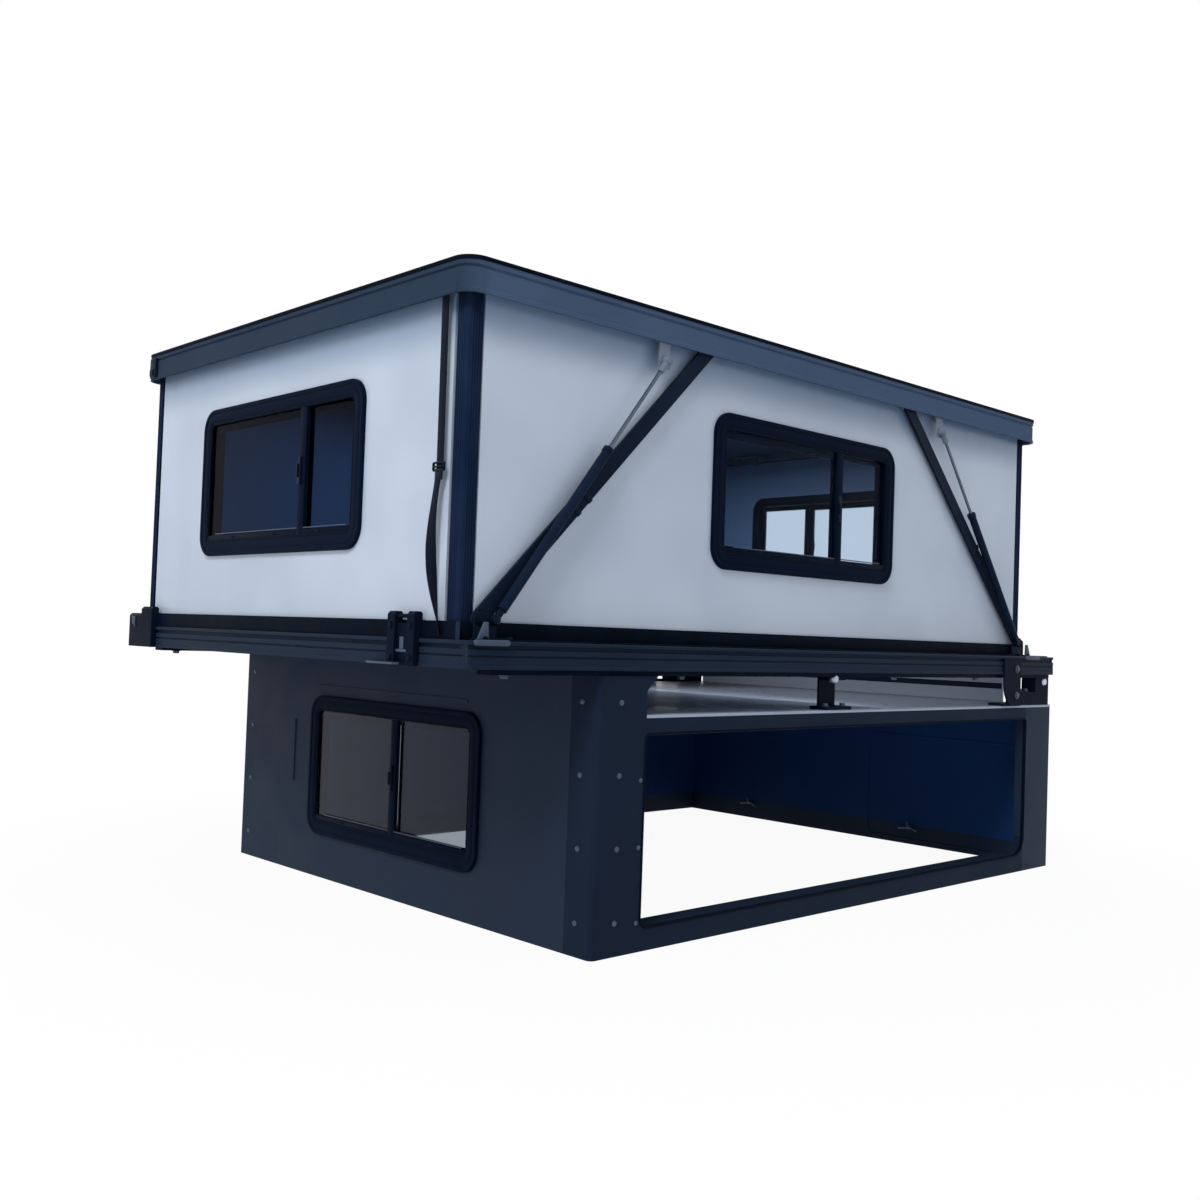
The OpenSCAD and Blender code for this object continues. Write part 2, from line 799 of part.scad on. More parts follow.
module base_bracket() {
    foot_l = 84;
    foot_w = 40;
    foot_t = 5;
    stud_l = 9;
    foot_x = arm_x0 - arm_w / 2 - 4;
    translate([foot_x + foot_l / 2, -tent_hw - curb_out - foot_w / 2, ledge_z]) linear_extrude(foot_t)
        rounded(foot_l, foot_w, foot_w / 2 - 1);
    translate([0, -bracket_y, 0]) rotate([90, 0, 0]) linear_extrude(bracket_t)
        polygon([
            [arm_x0 - 14, ledge_z + foot_t - eps], [arm_x0 - 14, arm_zb + 8], [arm_x0 - 6, arm_zb + 15],
            [arm_x0 + 6, arm_zb + 15], [strut_x0 + 10, arm_zb + 9], [strut_x0 + 10, ledge_z + foot_t - eps]
        ]);
    translate([arm_x0, -arm_y, arm_zb]) rotate([90, 0, 0]) cylinder(r = pin_r, h = arm_t + 1 + eps);
    translate([strut_x0, -bracket_y - bracket_t + eps, arm_zb]) rotate([90, 0, 0])
        cylinder(r = pin_r, h = stud_l);
}

module arm_base_brackets() {
    color(c_grey) each_side() each_end() base_bracket();
}

strut_x1 = strut_x0 + strut_run;

module top_fitting() {
    puck_t = 2.4;
    tab_w = 32;
    // sliding puck at the head of the arm
    translate([arm_x1, -arm_y + puck_t + 0.6, arm_zt]) rotate([90, 0, 0]) {
        cylinder(r = arm_w / 2, h = puck_t);
        cylinder(r = pin_r, h = puck_t + 0.6 + arm_t + 1);
    }
    // tab and ball stud for the strut, hung from the outer wall of the track
    translate([strut_x1 - tab_w / 2, -track_y1, strut_zt - 14])
        cube([tab_w, track_t, frame_z - strut_zt + 14]);
    translate([strut_x1, -track_y1 + eps, strut_zt]) rotate([90, 0, 0])
        cylinder(r = pin_r, h = strut_y - track_y1 + 4);
}

module arm_top_fittings() {
    color(c_grey) each_side() each_end() top_fitting();
}

// Places its child along a strut, with X from the foot ball to the top ball
module along_strut() {
    translate([strut_x0, -strut_y, arm_zb]) rotate([0, -strut_angle, 0]) children();
}

// Eye at the end of a strut, with its bore along Y
module strut_eye(bore) {
    r = bore ? pin_r + seat : eye_r;
    rotate([90, 0, 0]) cylinder(r = r, h = bore ? eye_w + 2 : eye_w, center = true);
}

// Round bar of a strut, from one distance along it to another
module strut_bar(r, from, to) {
    translate([from, 0, 0]) rotate([0, 90, 0]) cylinder(r = r, h = to - from);
}

neck_l = 24;
rod_in = 36;

module gas_cylinders() {
    neck_lap = 6;
    bore_in = rod_in + 4;
    collar = [-6, 4];
    color(c_black) each_side() each_end() along_strut() difference() {
        union() {
            strut_eye(false);
            strut_bar(eye_w / 2, 0, neck_l + neck_lap);
            strut_bar(gas_r, neck_l, gas_l);
            strut_bar(gas_r + 1.5, gas_l + collar[0], gas_l + collar[1]);
        }
        strut_eye(true);
        strut_bar(rod_r + seat, gas_l - bore_in, gas_l + bore_in / 2);
    }
}

module gas_rods() {
    eye_lap = 2;
    color(c_grey) each_side() each_end() along_strut() difference() {
        union() {
            strut_bar(rod_r, gas_l - rod_in, strut_len);
            strut_bar(eye_w / 2, strut_len - neck_l - eye_lap, strut_len - eye_lap);
            translate([strut_len, 0, 0]) strut_eye(false);
        }
        translate([strut_len, 0, 0]) strut_eye(true);
    }
}

// Fittings on the front of the tray
latch_y = -tray_w / 2 + latch_in;
ear_w = 24;
ear_gap = 40;
latch_top = curb_z + 17;

// Plate of the latch with its outer side at y, clasping the front rail up to the given height
module latch_plate(y, w, top) {
    curb_x = tent_front_x - curb_out;
    translate([0, y, 0]) rotate([90, 0, 0]) linear_extrude(w) polygon([
        [x_front, tray_z], [tray_front_x, tray_z], [tray_front_x, ledge_z],
        [curb_x, ledge_z], [curb_x, top - 4], [curb_x - 4, top],
        [x_front + 6, top], [x_front, top - 6]
    ]);
}

module front_latch() {
    foot_t = 6;
    foot_l = 144;
    bar_r = 4;
    bar_in = 8;
    bar_up = 8;
    corner_in = 12;
    corner_w = 71;
    catch_w = 60;
    color(c_black) {
        for (side = [-1, 1])
            latch_plate(latch_y + side * (ear_w + ear_gap) / 2 + ear_w / 2, ear_w, latch_top);
        // catch on the far corner, with a lower cheek at the corner itself
        latch_plate(tray_w / 2 - corner_in - corner_w + eps, catch_w, latch_top);
        latch_plate(tray_w / 2 - corner_in, corner_w, curb_z);
        translate([x_front + bar_in, latch_y, curb_z + bar_up]) rotate([90, 0, 0])
            cylinder(r = bar_r, h = ear_gap + 2, center = true);
        translate([x_front + 2, latch_y - (ear_w + ear_gap / 2), tray_z])
            cube([latch_proud - 2, foot_l, foot_t]);
    }
}

// Hold-down strap: a straight fall to the buckle, then a slack bow to the curb
strap_x = tent_front_x - curb_out;
strap_y = -tent_hw + strap_in;
buckle_z = ledge_z + buckle_h;
bow = 17;
lean = 16;
bow_steps = 24;
strap_z0 = ledge_z + 6;
strap_path = [
    [strap_y, ceiling_z],
    [strap_y - 2, buckle_z],
    for (i = [1:bow_steps])
        [strap_y - 2 - lean * i / bow_steps + bow * sin(180 * i / bow_steps),
            buckle_z + (strap_z0 - buckle_z) * i / bow_steps]
];

module strap() {
    half = strap_w / 2;
    last = len(strap_path) - 1;
    color(c_black) translate([strap_x, 0, 0]) rotate([90, 0, -90]) linear_extrude(strap_t)
        polygon(concat(
            [for (p = strap_path) [-p[0] - half, p[1]]],
            [for (i = [0:last]) [-strap_path[last - i][0] + half, strap_path[last - i][1]]]
        ));
}

module strap_buckle() {
    frame_w = strap_w + 16;
    frame_h = 18;
    frame_t = 4;
    color(c_black) translate([strap_x - strap_t, strap_y - 2, buckle_z]) rotate([90, 0, -90])
        linear_extrude(frame_t) difference() {
            rounded(frame_w, frame_h, 4);
            for (side = [-1, 1]) translate([0, side * 4.2]) square([strap_w + 1, 3.2], center = true);
        }
}

canopy_post(true, true);  // canopy_post_front_near
canopy_post(true, false);  // canopy_post_front_far
canopy_post(false, true);  // canopy_post_rear_near
canopy_post(false, false);  // canopy_post_rear_far
canopy_near_sill();
canopy_near_header();
canopy_far_wall();
canopy_front_wall();
canopy_rear_wall();
canopy_roof();
rear_riser();
canopy_window_frame();
canopy_window_glass();
mount_brackets();
tray_rail_near();
tray_rail_far();
tray_rail_front();
tray_rail_rear();
tray_floor();
tray_bearers();
corner_seals();
wall_hinges();
roof_frame();
roof_panel();
roof_rim();
lift_arms();
arm_base_brackets();
arm_top_fittings();
gas_cylinders();
gas_rods();
front_latch();
strap();
strap_buckle();
side_wall(0);  // wall_near
tent_window_frame(0, 0);  // window_frame_near
tent_window_glass(0, 0);  // window_glass_near
side_wall(180);  // wall_far
tent_window_frame(180, 0);  // window_frame_far
tent_window_glass(180, 0);  // window_glass_far
end_wall(-90, -front_window_y);  // wall_front
tent_window_frame(-90, -front_window_y);  // window_frame_front
tent_window_glass(-90, -front_window_y);  // window_glass_front
end_wall(90, 0);  // wall_rear
tent_window_frame(90, 0);  // window_frame_rear
tent_window_glass(90, 0);  // window_glass_rear
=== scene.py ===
"""Looks of a pickup-bed canopy that carries a raised hard-walled roof tent.

All sizes are in metres, in the frame of the CAD part: X runs towards the rear of the vehicle, Y away
from the side opening, Z up, and the origin is the bottom centre of the canopy.
"""

import logging
import math
from dataclasses import dataclass
from enum import Enum
from typing import Iterable, Mapping, Sequence

import bmesh
import bpy
from mathutils import Matrix, Vector


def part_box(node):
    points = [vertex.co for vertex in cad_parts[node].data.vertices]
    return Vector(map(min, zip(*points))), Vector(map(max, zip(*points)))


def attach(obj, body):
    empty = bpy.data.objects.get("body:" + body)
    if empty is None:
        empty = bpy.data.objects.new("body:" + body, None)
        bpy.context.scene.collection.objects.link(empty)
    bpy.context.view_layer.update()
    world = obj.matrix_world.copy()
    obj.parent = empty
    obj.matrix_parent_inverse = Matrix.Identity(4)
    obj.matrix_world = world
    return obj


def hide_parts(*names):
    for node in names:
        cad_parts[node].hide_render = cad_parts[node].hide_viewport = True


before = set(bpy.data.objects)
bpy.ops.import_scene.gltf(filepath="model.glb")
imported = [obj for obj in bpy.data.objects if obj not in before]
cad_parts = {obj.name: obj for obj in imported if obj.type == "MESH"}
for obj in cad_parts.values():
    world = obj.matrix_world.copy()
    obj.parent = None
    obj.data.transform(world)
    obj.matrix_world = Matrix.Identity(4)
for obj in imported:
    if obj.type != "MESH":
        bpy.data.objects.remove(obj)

log = logging.getLogger("roof_tent")

Colour = tuple[float, float, float, float]
Span = tuple[float, float]
Place = tuple[float, float, float]
Box = tuple[Place, Place, float]  # size, middle and rounding of a block
Rod = tuple[Place, Place, float]  # the two ends and the radius of a bar
Section = tuple[float, float, float]  # width, thickness and rounding of a ring's limbs
Mesh = bmesh.types.BMesh
Node = bpy.types.Node
Socket = bpy.types.NodeSocket
Tree = bpy.types.NodeTree
BASE = "tent_base"
PAINTED_BLUE_REFLECTION = "#7f9cd0"  # painted reflection: the blue tint given to the reflections of most finishes, standing in for a blue sky
SUNK = 0.0005  # how deep a small part sinks into the face it stands on
EDGE_STEPS = 2
CORNER_STEPS = 8
TOUCH = 1e-6  # points nearer than this are one point


class Face(Enum):
    """An upright side of the unit, by the turn that brings the near side round to it, in degrees."""

    NEAR = 0
    FAR = 180
    FRONT = -90
    REAR = 90

    @property
    def matrix(self) -> Matrix:
        """Turns a drawing with X right, Y up and Z outwards on to this side."""
        return Matrix.Rotation(math.radians(self.value), 4, "Z") @ Matrix.Rotation(math.pi / 2, 4, "X")

    def place(self, right: float, up: float, out: float) -> Matrix:
        """Puts a drawing on this side.

        Args:
            right: distance to the right of the unit's Z axis, seen from outside.
            up: height.
            out: distance outwards from the unit's Z axis.

        Returns:
            The matrix that turns and moves the drawing.
        """
        return self.matrix @ Matrix.Translation((right, up, out))


class Sheen(Enum):
    """How much a coat of paint shines, as its mean roughness."""

    TEXTURED = 0.58
    SATIN = 0.42


def srgb(code: str) -> Colour:
    """Turns an sRGB hex value into a linear colour.

    Args:
        code: a value such as "#2a3445".

    Returns:
        Linear red, green and blue, and an alpha of 1.
    """
    steps = [int(code[i:i + 2], 16) / 255 for i in (1, 3, 5)]
    linear = [c / 12.92 if c <= 0.04045 else ((c + 0.055) / 1.055) ** 2.4 for c in steps]
    return (linear[0], linear[1], linear[2], 1.0)


def add_node(
    tree: Tree, kind: str, inputs: Mapping[str | int, object] | None = None, **settings: object
) -> Node:
    """Adds a shader node.

    Args:
        tree: the node tree.
        kind: the node's Blender type, without the ShaderNode in front.
        inputs: what each input is set to, or the output socket that feeds it.
        settings: properties of the node.

    Returns:
        The new node.
    """
    node = tree.nodes.new("ShaderNode" + kind)
    for key, value in settings.items():
        setattr(node, key, value)
    for key, value in (inputs or {}).items():
        if isinstance(value, Socket):
            tree.links.new(value, node.inputs[key])
        else:
            node.inputs[key].default_value = value
    return node


@dataclass(frozen=True)
class Surface:
    """A material's nodes, while a finish lays its detail on them."""

    tree: Tree
    shader: Node

    def add(self, kind: str, inputs: Mapping[str | int, object] | None = None, **settings: object) -> Socket:
        """Adds a node, as add_node does, and gives its first output."""
        return add_node(self.tree, kind, inputs, **settings).outputs[0]

    def place(self, scale: Sequence[float] = (1, 1, 1)) -> Socket:
        """Object coordinates, stretched by a factor along each axis."""
        coords = add_node(self.tree, "TexCoord")
        return self.add("Mapping", {"Vector": coords.outputs["Object"], "Scale": scale})

    def spread(self, value: Socket, low: float, high: float, seen: Span = (0.35, 0.65)) -> Socket:
        """Maps the middle of a pattern on to a range.

        Args:
            value: the pattern.
            low: result at the lower end.
            high: result at the upper end.
            seen: the part of the pattern that is spread over the range.

        Returns:
            The mapped value.
        """
        return self.add("MapRange", {
            "Value": value, "From Min": seen[0], "From Max": seen[1], "To Min": low, "To Max": high})

    def tint(self, factor: Socket, first: str | Socket, second: str | Socket) -> Socket:
        """Mixes two colours, each a hex value or a socket.

        Args:
            factor: 0 for the first colour and 1 for the second.
            first: the first colour.
            second: the second colour.

        Returns:
            The mixed colour.
        """
        first, second = (srgb(colour) if isinstance(colour, str) else colour for colour in (first, second))
        return add_node(self.tree, "Mix", {0: factor, 6: first, 7: second}, data_type="RGBA").outputs[2]

    def gloss(self, level: float, tint: str) -> None:
        """Sets how much the surface reflects, and the colour painted into its reflections."""
        self.shader.inputs["Specular IOR Level"].default_value = level
        self.shader.inputs["Specular Tint"].default_value = srgb(tint)

    def lay(
        self, colour: Socket | None, rough: Socket, height: Socket | None = None, strength: float = 0.0,
        depth: float = 0.0
    ) -> None:
        """Feeds the shader.

        Args:
            colour: the base colour, or None where the finish's own stays.
            rough: the roughness.
            height: the relief, or None for a flat surface.
            strength: of the relief.
            depth: of the relief.
        """
        relief = None
        if height is not None:
            relief = self.add("Bump", {"Height": height, "Strength": strength, "Distance": depth})
        for name, socket in (("Base Color", colour), ("Roughness", rough), ("Normal", relief)):
            if socket is not None:
                self.tree.links.new(socket, self.shader.inputs[name])


@dataclass(frozen=True)
class PaintedRoomLight:
    """Painted light on the inside of a shell, lighter or darker than the coat: its colour, and the middle and half
    size of the room whose faces take it.
    """

    colour: str
    middle: Place
    half: Place

    def over(self, surface: Surface, coat: Socket) -> Socket:
        """Gives the faces inside the room the painted light's colour and leaves the others their coat.

        Args:
            surface: the material's nodes.
            coat: colour of the coat.

        Returns:
            The colour with the painted light in it.
        """
        away = surface.add("VectorMath", {0: surface.place(), 1: self.middle}, operation="SUBTRACT")
        reach = surface.add("VectorMath", {0: away}, operation="ABSOLUTE")
        parts = add_node(surface.tree, "SeparateXYZ", {"Vector": reach}).outputs
        inside = [
            surface.add("Math", {0: part, 1: half}, operation="LESS_THAN") for part, half in zip(parts, self.half)]
        both = surface.add("Math", {0: inside[0], 1: inside[1]}, operation="MULTIPLY")
        room = surface.add("Math", {0: both, 1: inside[2]}, operation="MULTIPLY")
        return surface.tint(room, coat, self.colour)


@dataclass(frozen=True)
class FrontDarkening:
    """A darker colour over the front end: full at `thick` and gone at `gone`, both along x."""

    colour: str
    thick: float
    gone: float

    def over(self, surface: Surface, coat: Socket) -> Socket:
        """Lays the darker colour over a coat."""
        along = add_node(surface.tree, "SeparateXYZ", {"Vector": surface.place()}).outputs["X"]
        return surface.tint(surface.spread(along, 1.0, 0.0, (self.thick, self.gone)), coat, self.colour)


@dataclass(frozen=True)
class Finish:
    """A real finish, with the colour and roughness that its surface has on average."""

    name: str
    colour: str
    roughness: float = 0.5
    metallic: float = 0.0

    def material(self) -> bpy.types.Material:
        """Makes the finish's material the first time and finds it again after that.

        Returns:
            The Blender material.
        """
        made = bpy.data.materials.get(self.name)
        if made is not None:
            return made
        made = bpy.data.materials.new(self.name)
        made.use_nodes = True
        tree = made.node_tree
        tree.nodes.clear()
        shader = add_node(tree, "BsdfPrincipled", {
            "Base Color": srgb(self.colour), "Roughness": self.roughness, "Metallic": self.metallic})
        add_node(tree, "OutputMaterial", {"Surface": shader.outputs["BSDF"]})
        self.detail(Surface(tree, shader))
        return made

    def detail(self, surface: Surface) -> None:
        """Adds what the eye sees of the surface beyond its mean colour.

        Args:
            surface: the material's nodes.
        """


@dataclass(frozen=True)
class PowderCoat(Finish):
    """Polyester powder baked on sheet metal: an even orange-peel grain, with cloudy sheen from handling."""

    dusty: str = "#3c4858"
    grain: float = 0.005
    depth: float = 0.0005
    dust: float = 0.35
    cloud: float = 0.22
    specular: float = 0.13
    # painted reflection: the colour that the coat's reflections are tinted
    gloss: str = "#86a4d6"
    layers: tuple[PaintedRoomLight | FrontDarkening, ...] = ()

    def detail(self, surface: Surface) -> None:
        """Grain in the bump, clouds in the roughness, a little dust in the colour, and a painted tint in the
        reflections.

        Args:
            surface: the material's nodes.
        """
        surface.gloss(self.specular, self.gloss)
        clouds = surface.add("TexNoise", {
            "Vector": surface.place(), "Scale": 1 / self.cloud, "Detail": 5.0, "Roughness": 0.55})
        # real grain is about 1 mm wide, too fine for the picture, so it is drawn a few times coarser
        grain = surface.add("TexNoise", {"Vector": surface.place(), "Scale": 1 / self.grain, "Detail": 2.0})
        coat = surface.tint(surface.spread(clouds, 0.0, self.dust), self.colour, self.dusty)
        for layer in self.layers:
            coat = layer.over(surface, coat)
        rough = surface.spread(clouds, self.roughness - 0.07, self.roughness + 0.09)
        surface.lay(coat, rough, grain, 0.35, self.depth)


@dataclass(frozen=True)
class CompositeSkin(Finish):
    """Gel-coated composite panel: pale and smooth, faintly wavy, with dust at its foot and painted shade under the
    eaves.
    """

    clouded: str = "#bbc7d7"
    grime: str = "#8f9bab"
    foot: float = 0.655
    grime_top: float = 0.72
    eaves: float = 1.245
    eaves_drop: float = 0.11
    eaves_painted_shade: str = "#66809f"
    wave: float = 0.28
    streak: float = 0.045
    layers: tuple[PaintedRoomLight, ...] = ()

    def detail(self, surface: Surface) -> None:
        """Long waves in the bump, a streaked foot, painted shade under the eaves and a slightly uneven gloss.

        Args:
            surface: the material's nodes.
        """
        place = surface.place()
        waves = surface.add("TexNoise", {"Vector": place, "Scale": 1 / self.wave, "Detail": 1.5})
        streaks = surface.add("TexNoise", {
            "Vector": surface.place((1, 1, 0.12)), "Scale": 1 / self.streak, "Detail": 4.0})
        height = add_node(surface.tree, "SeparateXYZ", {"Vector": place}).outputs["Z"]
        wash = surface.add("Math", {
            0: surface.spread(height, 0.05, 0.0, (self.foot, self.grime_top)),
            1: surface.spread(streaks, 0.3, 0.7)}, operation="MULTIPLY")
        # painted shade: the colour darkens towards the eaves, standing in for the shadow of the roof's overhang
        under = surface.add("MapRange", {
            "Value": height, "From Min": self.eaves - self.eaves_drop, "From Max": self.eaves, "To Max": 0.85},
            interpolation_type="SMOOTHSTEP")
        cloudy = surface.tint(surface.spread(waves, 0.0, 1.0), self.colour, self.clouded)
        skin = surface.tint(under, surface.tint(wash, cloudy, self.grime), self.eaves_painted_shade)
        for layer in self.layers:
            skin = layer.over(surface, skin)
        rough = surface.spread(streaks, self.roughness - 0.05, self.roughness + 0.08)
        surface.lay(skin, rough, waves, 0.4, 0.004)


@dataclass(frozen=True)
class TintedGlass(Finish):
    """Dark tinted acrylic pane: clear enough to see the far window through it, with wiped smears."""

    ior: float = 1.3
    mirror: float = 0.5
    smear: float = 0.12

    def detail(self, surface: Surface) -> None:
        """Transmission, with smears that blur its gloss a little.

        Args:
            surface: the material's nodes.
        """
        # painted reflection: the pane's reflections are tinted blue
        surface.gloss(self.mirror, PAINTED_BLUE_REFLECTION)
        surface.shader.inputs["Transmission Weight"].default_value = 1.0
        surface.shader.inputs["IOR"].default_value = self.ior
        smears = surface.add("TexNoise", {
            "Vector": surface.place((1, 1, 0.4)), "Scale": 1 / self.smear, "Detail": 5.0, "Distortion": 0.6})
        surface.lay(None, surface.spread(smears, 0.015, 0.05))


@dataclass(frozen=True)
class MouldedRubber(Finish):
    """Extruded EPDM rubber: matt and slightly bloomed, with a fine skin."""

    bloom: str = "#3a4a60"
    patch: float = 0.05
    pore: float = 0.003

    def detail(self, surface: Surface) -> None:
        """Bloom in the colour and a fine bump.

        Args:
            surface: the material's nodes.
        """
        # painted reflection: the rubber's reflections are tinted blue
        surface.gloss(0.03, PAINTED_BLUE_REFLECTION)
        bloom = surface.add("TexNoise", {
            "Vector": surface.place((1, 1, 0.3)), "Scale": 1 / self.patch, "Detail": 4.0})
        skin = surface.add("TexNoise", {"Vector": surface.place(), "Scale": 1 / self.pore})
        colour = surface.tint(surface.spread(bloom, 0.0, 0.6), self.colour, self.bloom)
        surface.lay(colour, surface.spread(bloom, 0.5, 0.68), skin, 0.25, 0.0004)


@dataclass(frozen=True)
class Webbing(Finish):
    """Woven polyester webbing: ribs across it between two bound edges, and light caught on each thread."""

    width: float = 0.02
    length: float = 0.7
    pitch: float = 0.0026
    thread: str = "#1a2536"

    def detail(self, surface: Surface) -> None:
        """Warp and weft from the strap's own UV map; the thread is drawn a little coarser than real.

        Args:
            surface: the material's nodes.
        """
        uv = surface.add("UVMap", uv_map="strap")
        run = surface.add("Mapping", {"Vector": uv, "Scale": (self.width, self.length, 1.0)})
        weft, warp = (
            add_node(surface.tree, "TexWave", {
                "Vector": run, "Scale": scale / self.pitch, "Distortion": wobble}, bands_direction=way).outputs[1]
            for scale, wobble, way in ((0.314, 0.4, "Y"), (0.5, 0.2, "X")))
        weave = surface.add("Math", {0: weft, 1: warp}, operation="MULTIPLY")
        colour = surface.tint(weave, self.colour, self.thread)
        surface.lay(colour, surface.spread(weft, 0.8, 0.6, (0.0, 1.0)), weave, 0.6, 0.0006)
        surface.shader.inputs["Specular IOR Level"].default_value = 0.1


@dataclass(frozen=True)
class DrawnMetal(Finish):
    """Anodised, plated or polished metal: fine draw lines along its length break up the highlight."""

    lines: Place = (0.03, 1.0, 1.0)
    line_width: float = 0.0015
    stain: str = "#6d7682"
    stain_size: float = 0.06

    def detail(self, surface: Surface) -> None:
        """Draw lines in roughness and bump, and a slightly stained colour.

        Args:
            surface: the material's nodes.
        """
        lines = surface.add("TexNoise", {
            "Vector": surface.place(self.lines), "Scale": 1 / self.line_width, "Detail": 3.0})
        stains = surface.add("TexNoise", {
            "Vector": surface.place(), "Scale": 1 / self.stain_size, "Detail": 4.0})
        colour = surface.tint(surface.spread(stains, 0.0, 0.45), self.colour, self.stain)
        rough = surface.spread(lines, self.roughness - 0.06, self.roughness + 0.12)
        surface.lay(colour, rough, lines, 0.15, 0.0002)


@dataclass(frozen=True)
class MouldedNylon(Finish):
    """Injection-moulded nylon: spark-eroded grain with shine worn on to it."""

    worn: float = 0.02
    spark: float = 0.001

    def detail(self, surface: Surface) -> None:
        """Grain in the bump and worn patches in the roughness.

        Args:
            surface: the material's nodes.
        """
        # painted reflection: the nylon's reflections are tinted blue
        surface.gloss(0.15, PAINTED_BLUE_REFLECTION)
        wear = surface.add("TexNoise", {"Vector": surface.place(), "Scale": 1 / self.worn})
        grain = surface.add("TexNoise", {"Vector": surface.place(), "Scale": 1 / self.spark})
        surface.lay(None, surface.spread(wear, 0.35, 0.6), grain, 0.3, 0.0002)


# painted light: the canopy's inside faces are lighter and bluer than its coat, standing in for light inside the canopy
CANOPY_ROOM_PAINTED_LIGHT = PaintedRoomLight("#1a3a6c", (0.17, 0.0235, 0.3), (0.915, 0.6735, 0.24))
CANOPY_COAT = PowderCoat(
    "canopy_textured_powder_coat", "#1c283a", Sheen.TEXTURED.value, dusty="#29364a", gloss="#d4e0f4",
    layers=(CANOPY_ROOM_PAINTED_LIGHT,))
# painted shade: a darker copy of the canopy coat, with less sheen, for the near side's post, sill and header
CANOPY_SHADED_SIDE_COAT = PowderCoat(
    "canopy_near_side_painted_shade_powder_coat", "#1a2434", Sheen.TEXTURED.value, dusty="#242f40", specular=0.05,
    layers=(CANOPY_ROOM_PAINTED_LIGHT,))
DECK_COAT = PowderCoat(
    "deck_sheet_grey_powder_coat", "#9fabbd", 0.3, dusty="#b2bccb", depth=0.0001, specular=0.4, gloss="#b9c6da")
ROOF_COAT = PowderCoat(
    "roof_textured_powder_coat", "#495b75", Sheen.TEXTURED.value, dusty="#566984", specular=0.03,
    # darker towards the roof's front end
    layers=(FrontDarkening("#2e3c4e", -1.094, -1.04),))
TRAY_COAT = PowderCoat(
    "tray_satin_powder_coat", "#1e2939", Sheen.SATIN.value, dusty="#2a3747", grain=0.003, specular=0.03)
CURB_COAT = PowderCoat(
    "bracket_black_powder_coat", "#0b1322", Sheen.SATIN.value, dusty="#151f31", grain=0.003, specular=0.02)
ARM_COAT = PowderCoat(
    "arm_satin_black_paint", "#121d2e", Sheen.SATIN.value, dusty="#1f2b3d", grain=0.003, specular=0.04)
FOOT_COAT = PowderCoat("foot_grey_hammered_enamel", "#4a5666", Sheen.SATIN.value, dusty="#5b6878", grain=0.004)
PALE_COAT = PowderCoat("strut_bracket_pale_enamel", "#7d8898", Sheen.SATIN.value, dusty="#8b96a6", grain=0.004)
FRAME_COAT = PowderCoat(
    "window_frame_satin_black_anodising", "#0a1425", 0.4, dusty="#152034", grain=0.002, depth=0.0002,
    specular=0.012, gloss="#5f86cc")
WALL_SKIN = CompositeSkin(
    "wall_gel_coated_composite", "#c6d2e1", 0.34,
    # painted shade: the tent walls' inside faces are darker and bluer than their outside, standing in for the shade
    # inside the tent
    layers=(PaintedRoomLight("#7896bb", (-0.038, 0.0, 0.95), (1.019, 0.642, 0.4)),))
FLOOR_SKIN = CompositeSkin("floor_composite_board", "#3f4a5c", 0.5, clouded="#384355", foot=0.0, grime_top=0.01)
TENT_GLASS = TintedGlass("tent_window_tinted_acrylic", "#d5e0ec", 0.03, ior=1.08, mirror=0.1)
# painted shade: a darker, bluer copy of the tent window acrylic, for the front window only
FRONT_GLASS_PAINTED_SHADE = TintedGlass("front_window_painted_shade_acrylic", "#54749c", 0.03, ior=1.08, mirror=0.1)
CANOPY_GLASS = TintedGlass("canopy_window_tinted_glass", "#8a929c", 0.03)
SEAL_RUBBER = MouldedRubber("corner_seal_rubber", "#16223a", 0.6, bloom="#23314a")
BEAD_RUBBER = MouldedRubber("glazing_bead_rubber", "#070c16", 0.55, bloom="#101a2a")
STRAP_WEAVE = Webbing("hold_down_strap_webbing", "#0c1320", 0.7)
FRAME_ALLOY = DrawnMetal("frame_anodised_aluminium", "#8e98a5", 0.38, 1.0)
PLATED_STEEL = DrawnMetal("fastener_zinc_plated_steel", "#b9c6d6", 0.34, 1.0, lines=(1, 1, 1), line_width=0.003)
DULL_STEEL = DrawnMetal(
    "fastener_painted_over_steel", "#4c5a6d", 0.55, 0.6, lines=(1, 1, 1), line_width=0.003, stain="#39465a")
ROD_CHROME = DrawnMetal("strut_rod_dark_chrome", "#5a6573", 0.2, 1.0, stain="#4a5563")
BUCKLE_NYLON = MouldedNylon("strap_buckle_moulded_nylon", "#0c1422", 0.45)
SOCKET_NYLON = MouldedNylon("strut_socket_pale_nylon", "#727d8d", 0.5)

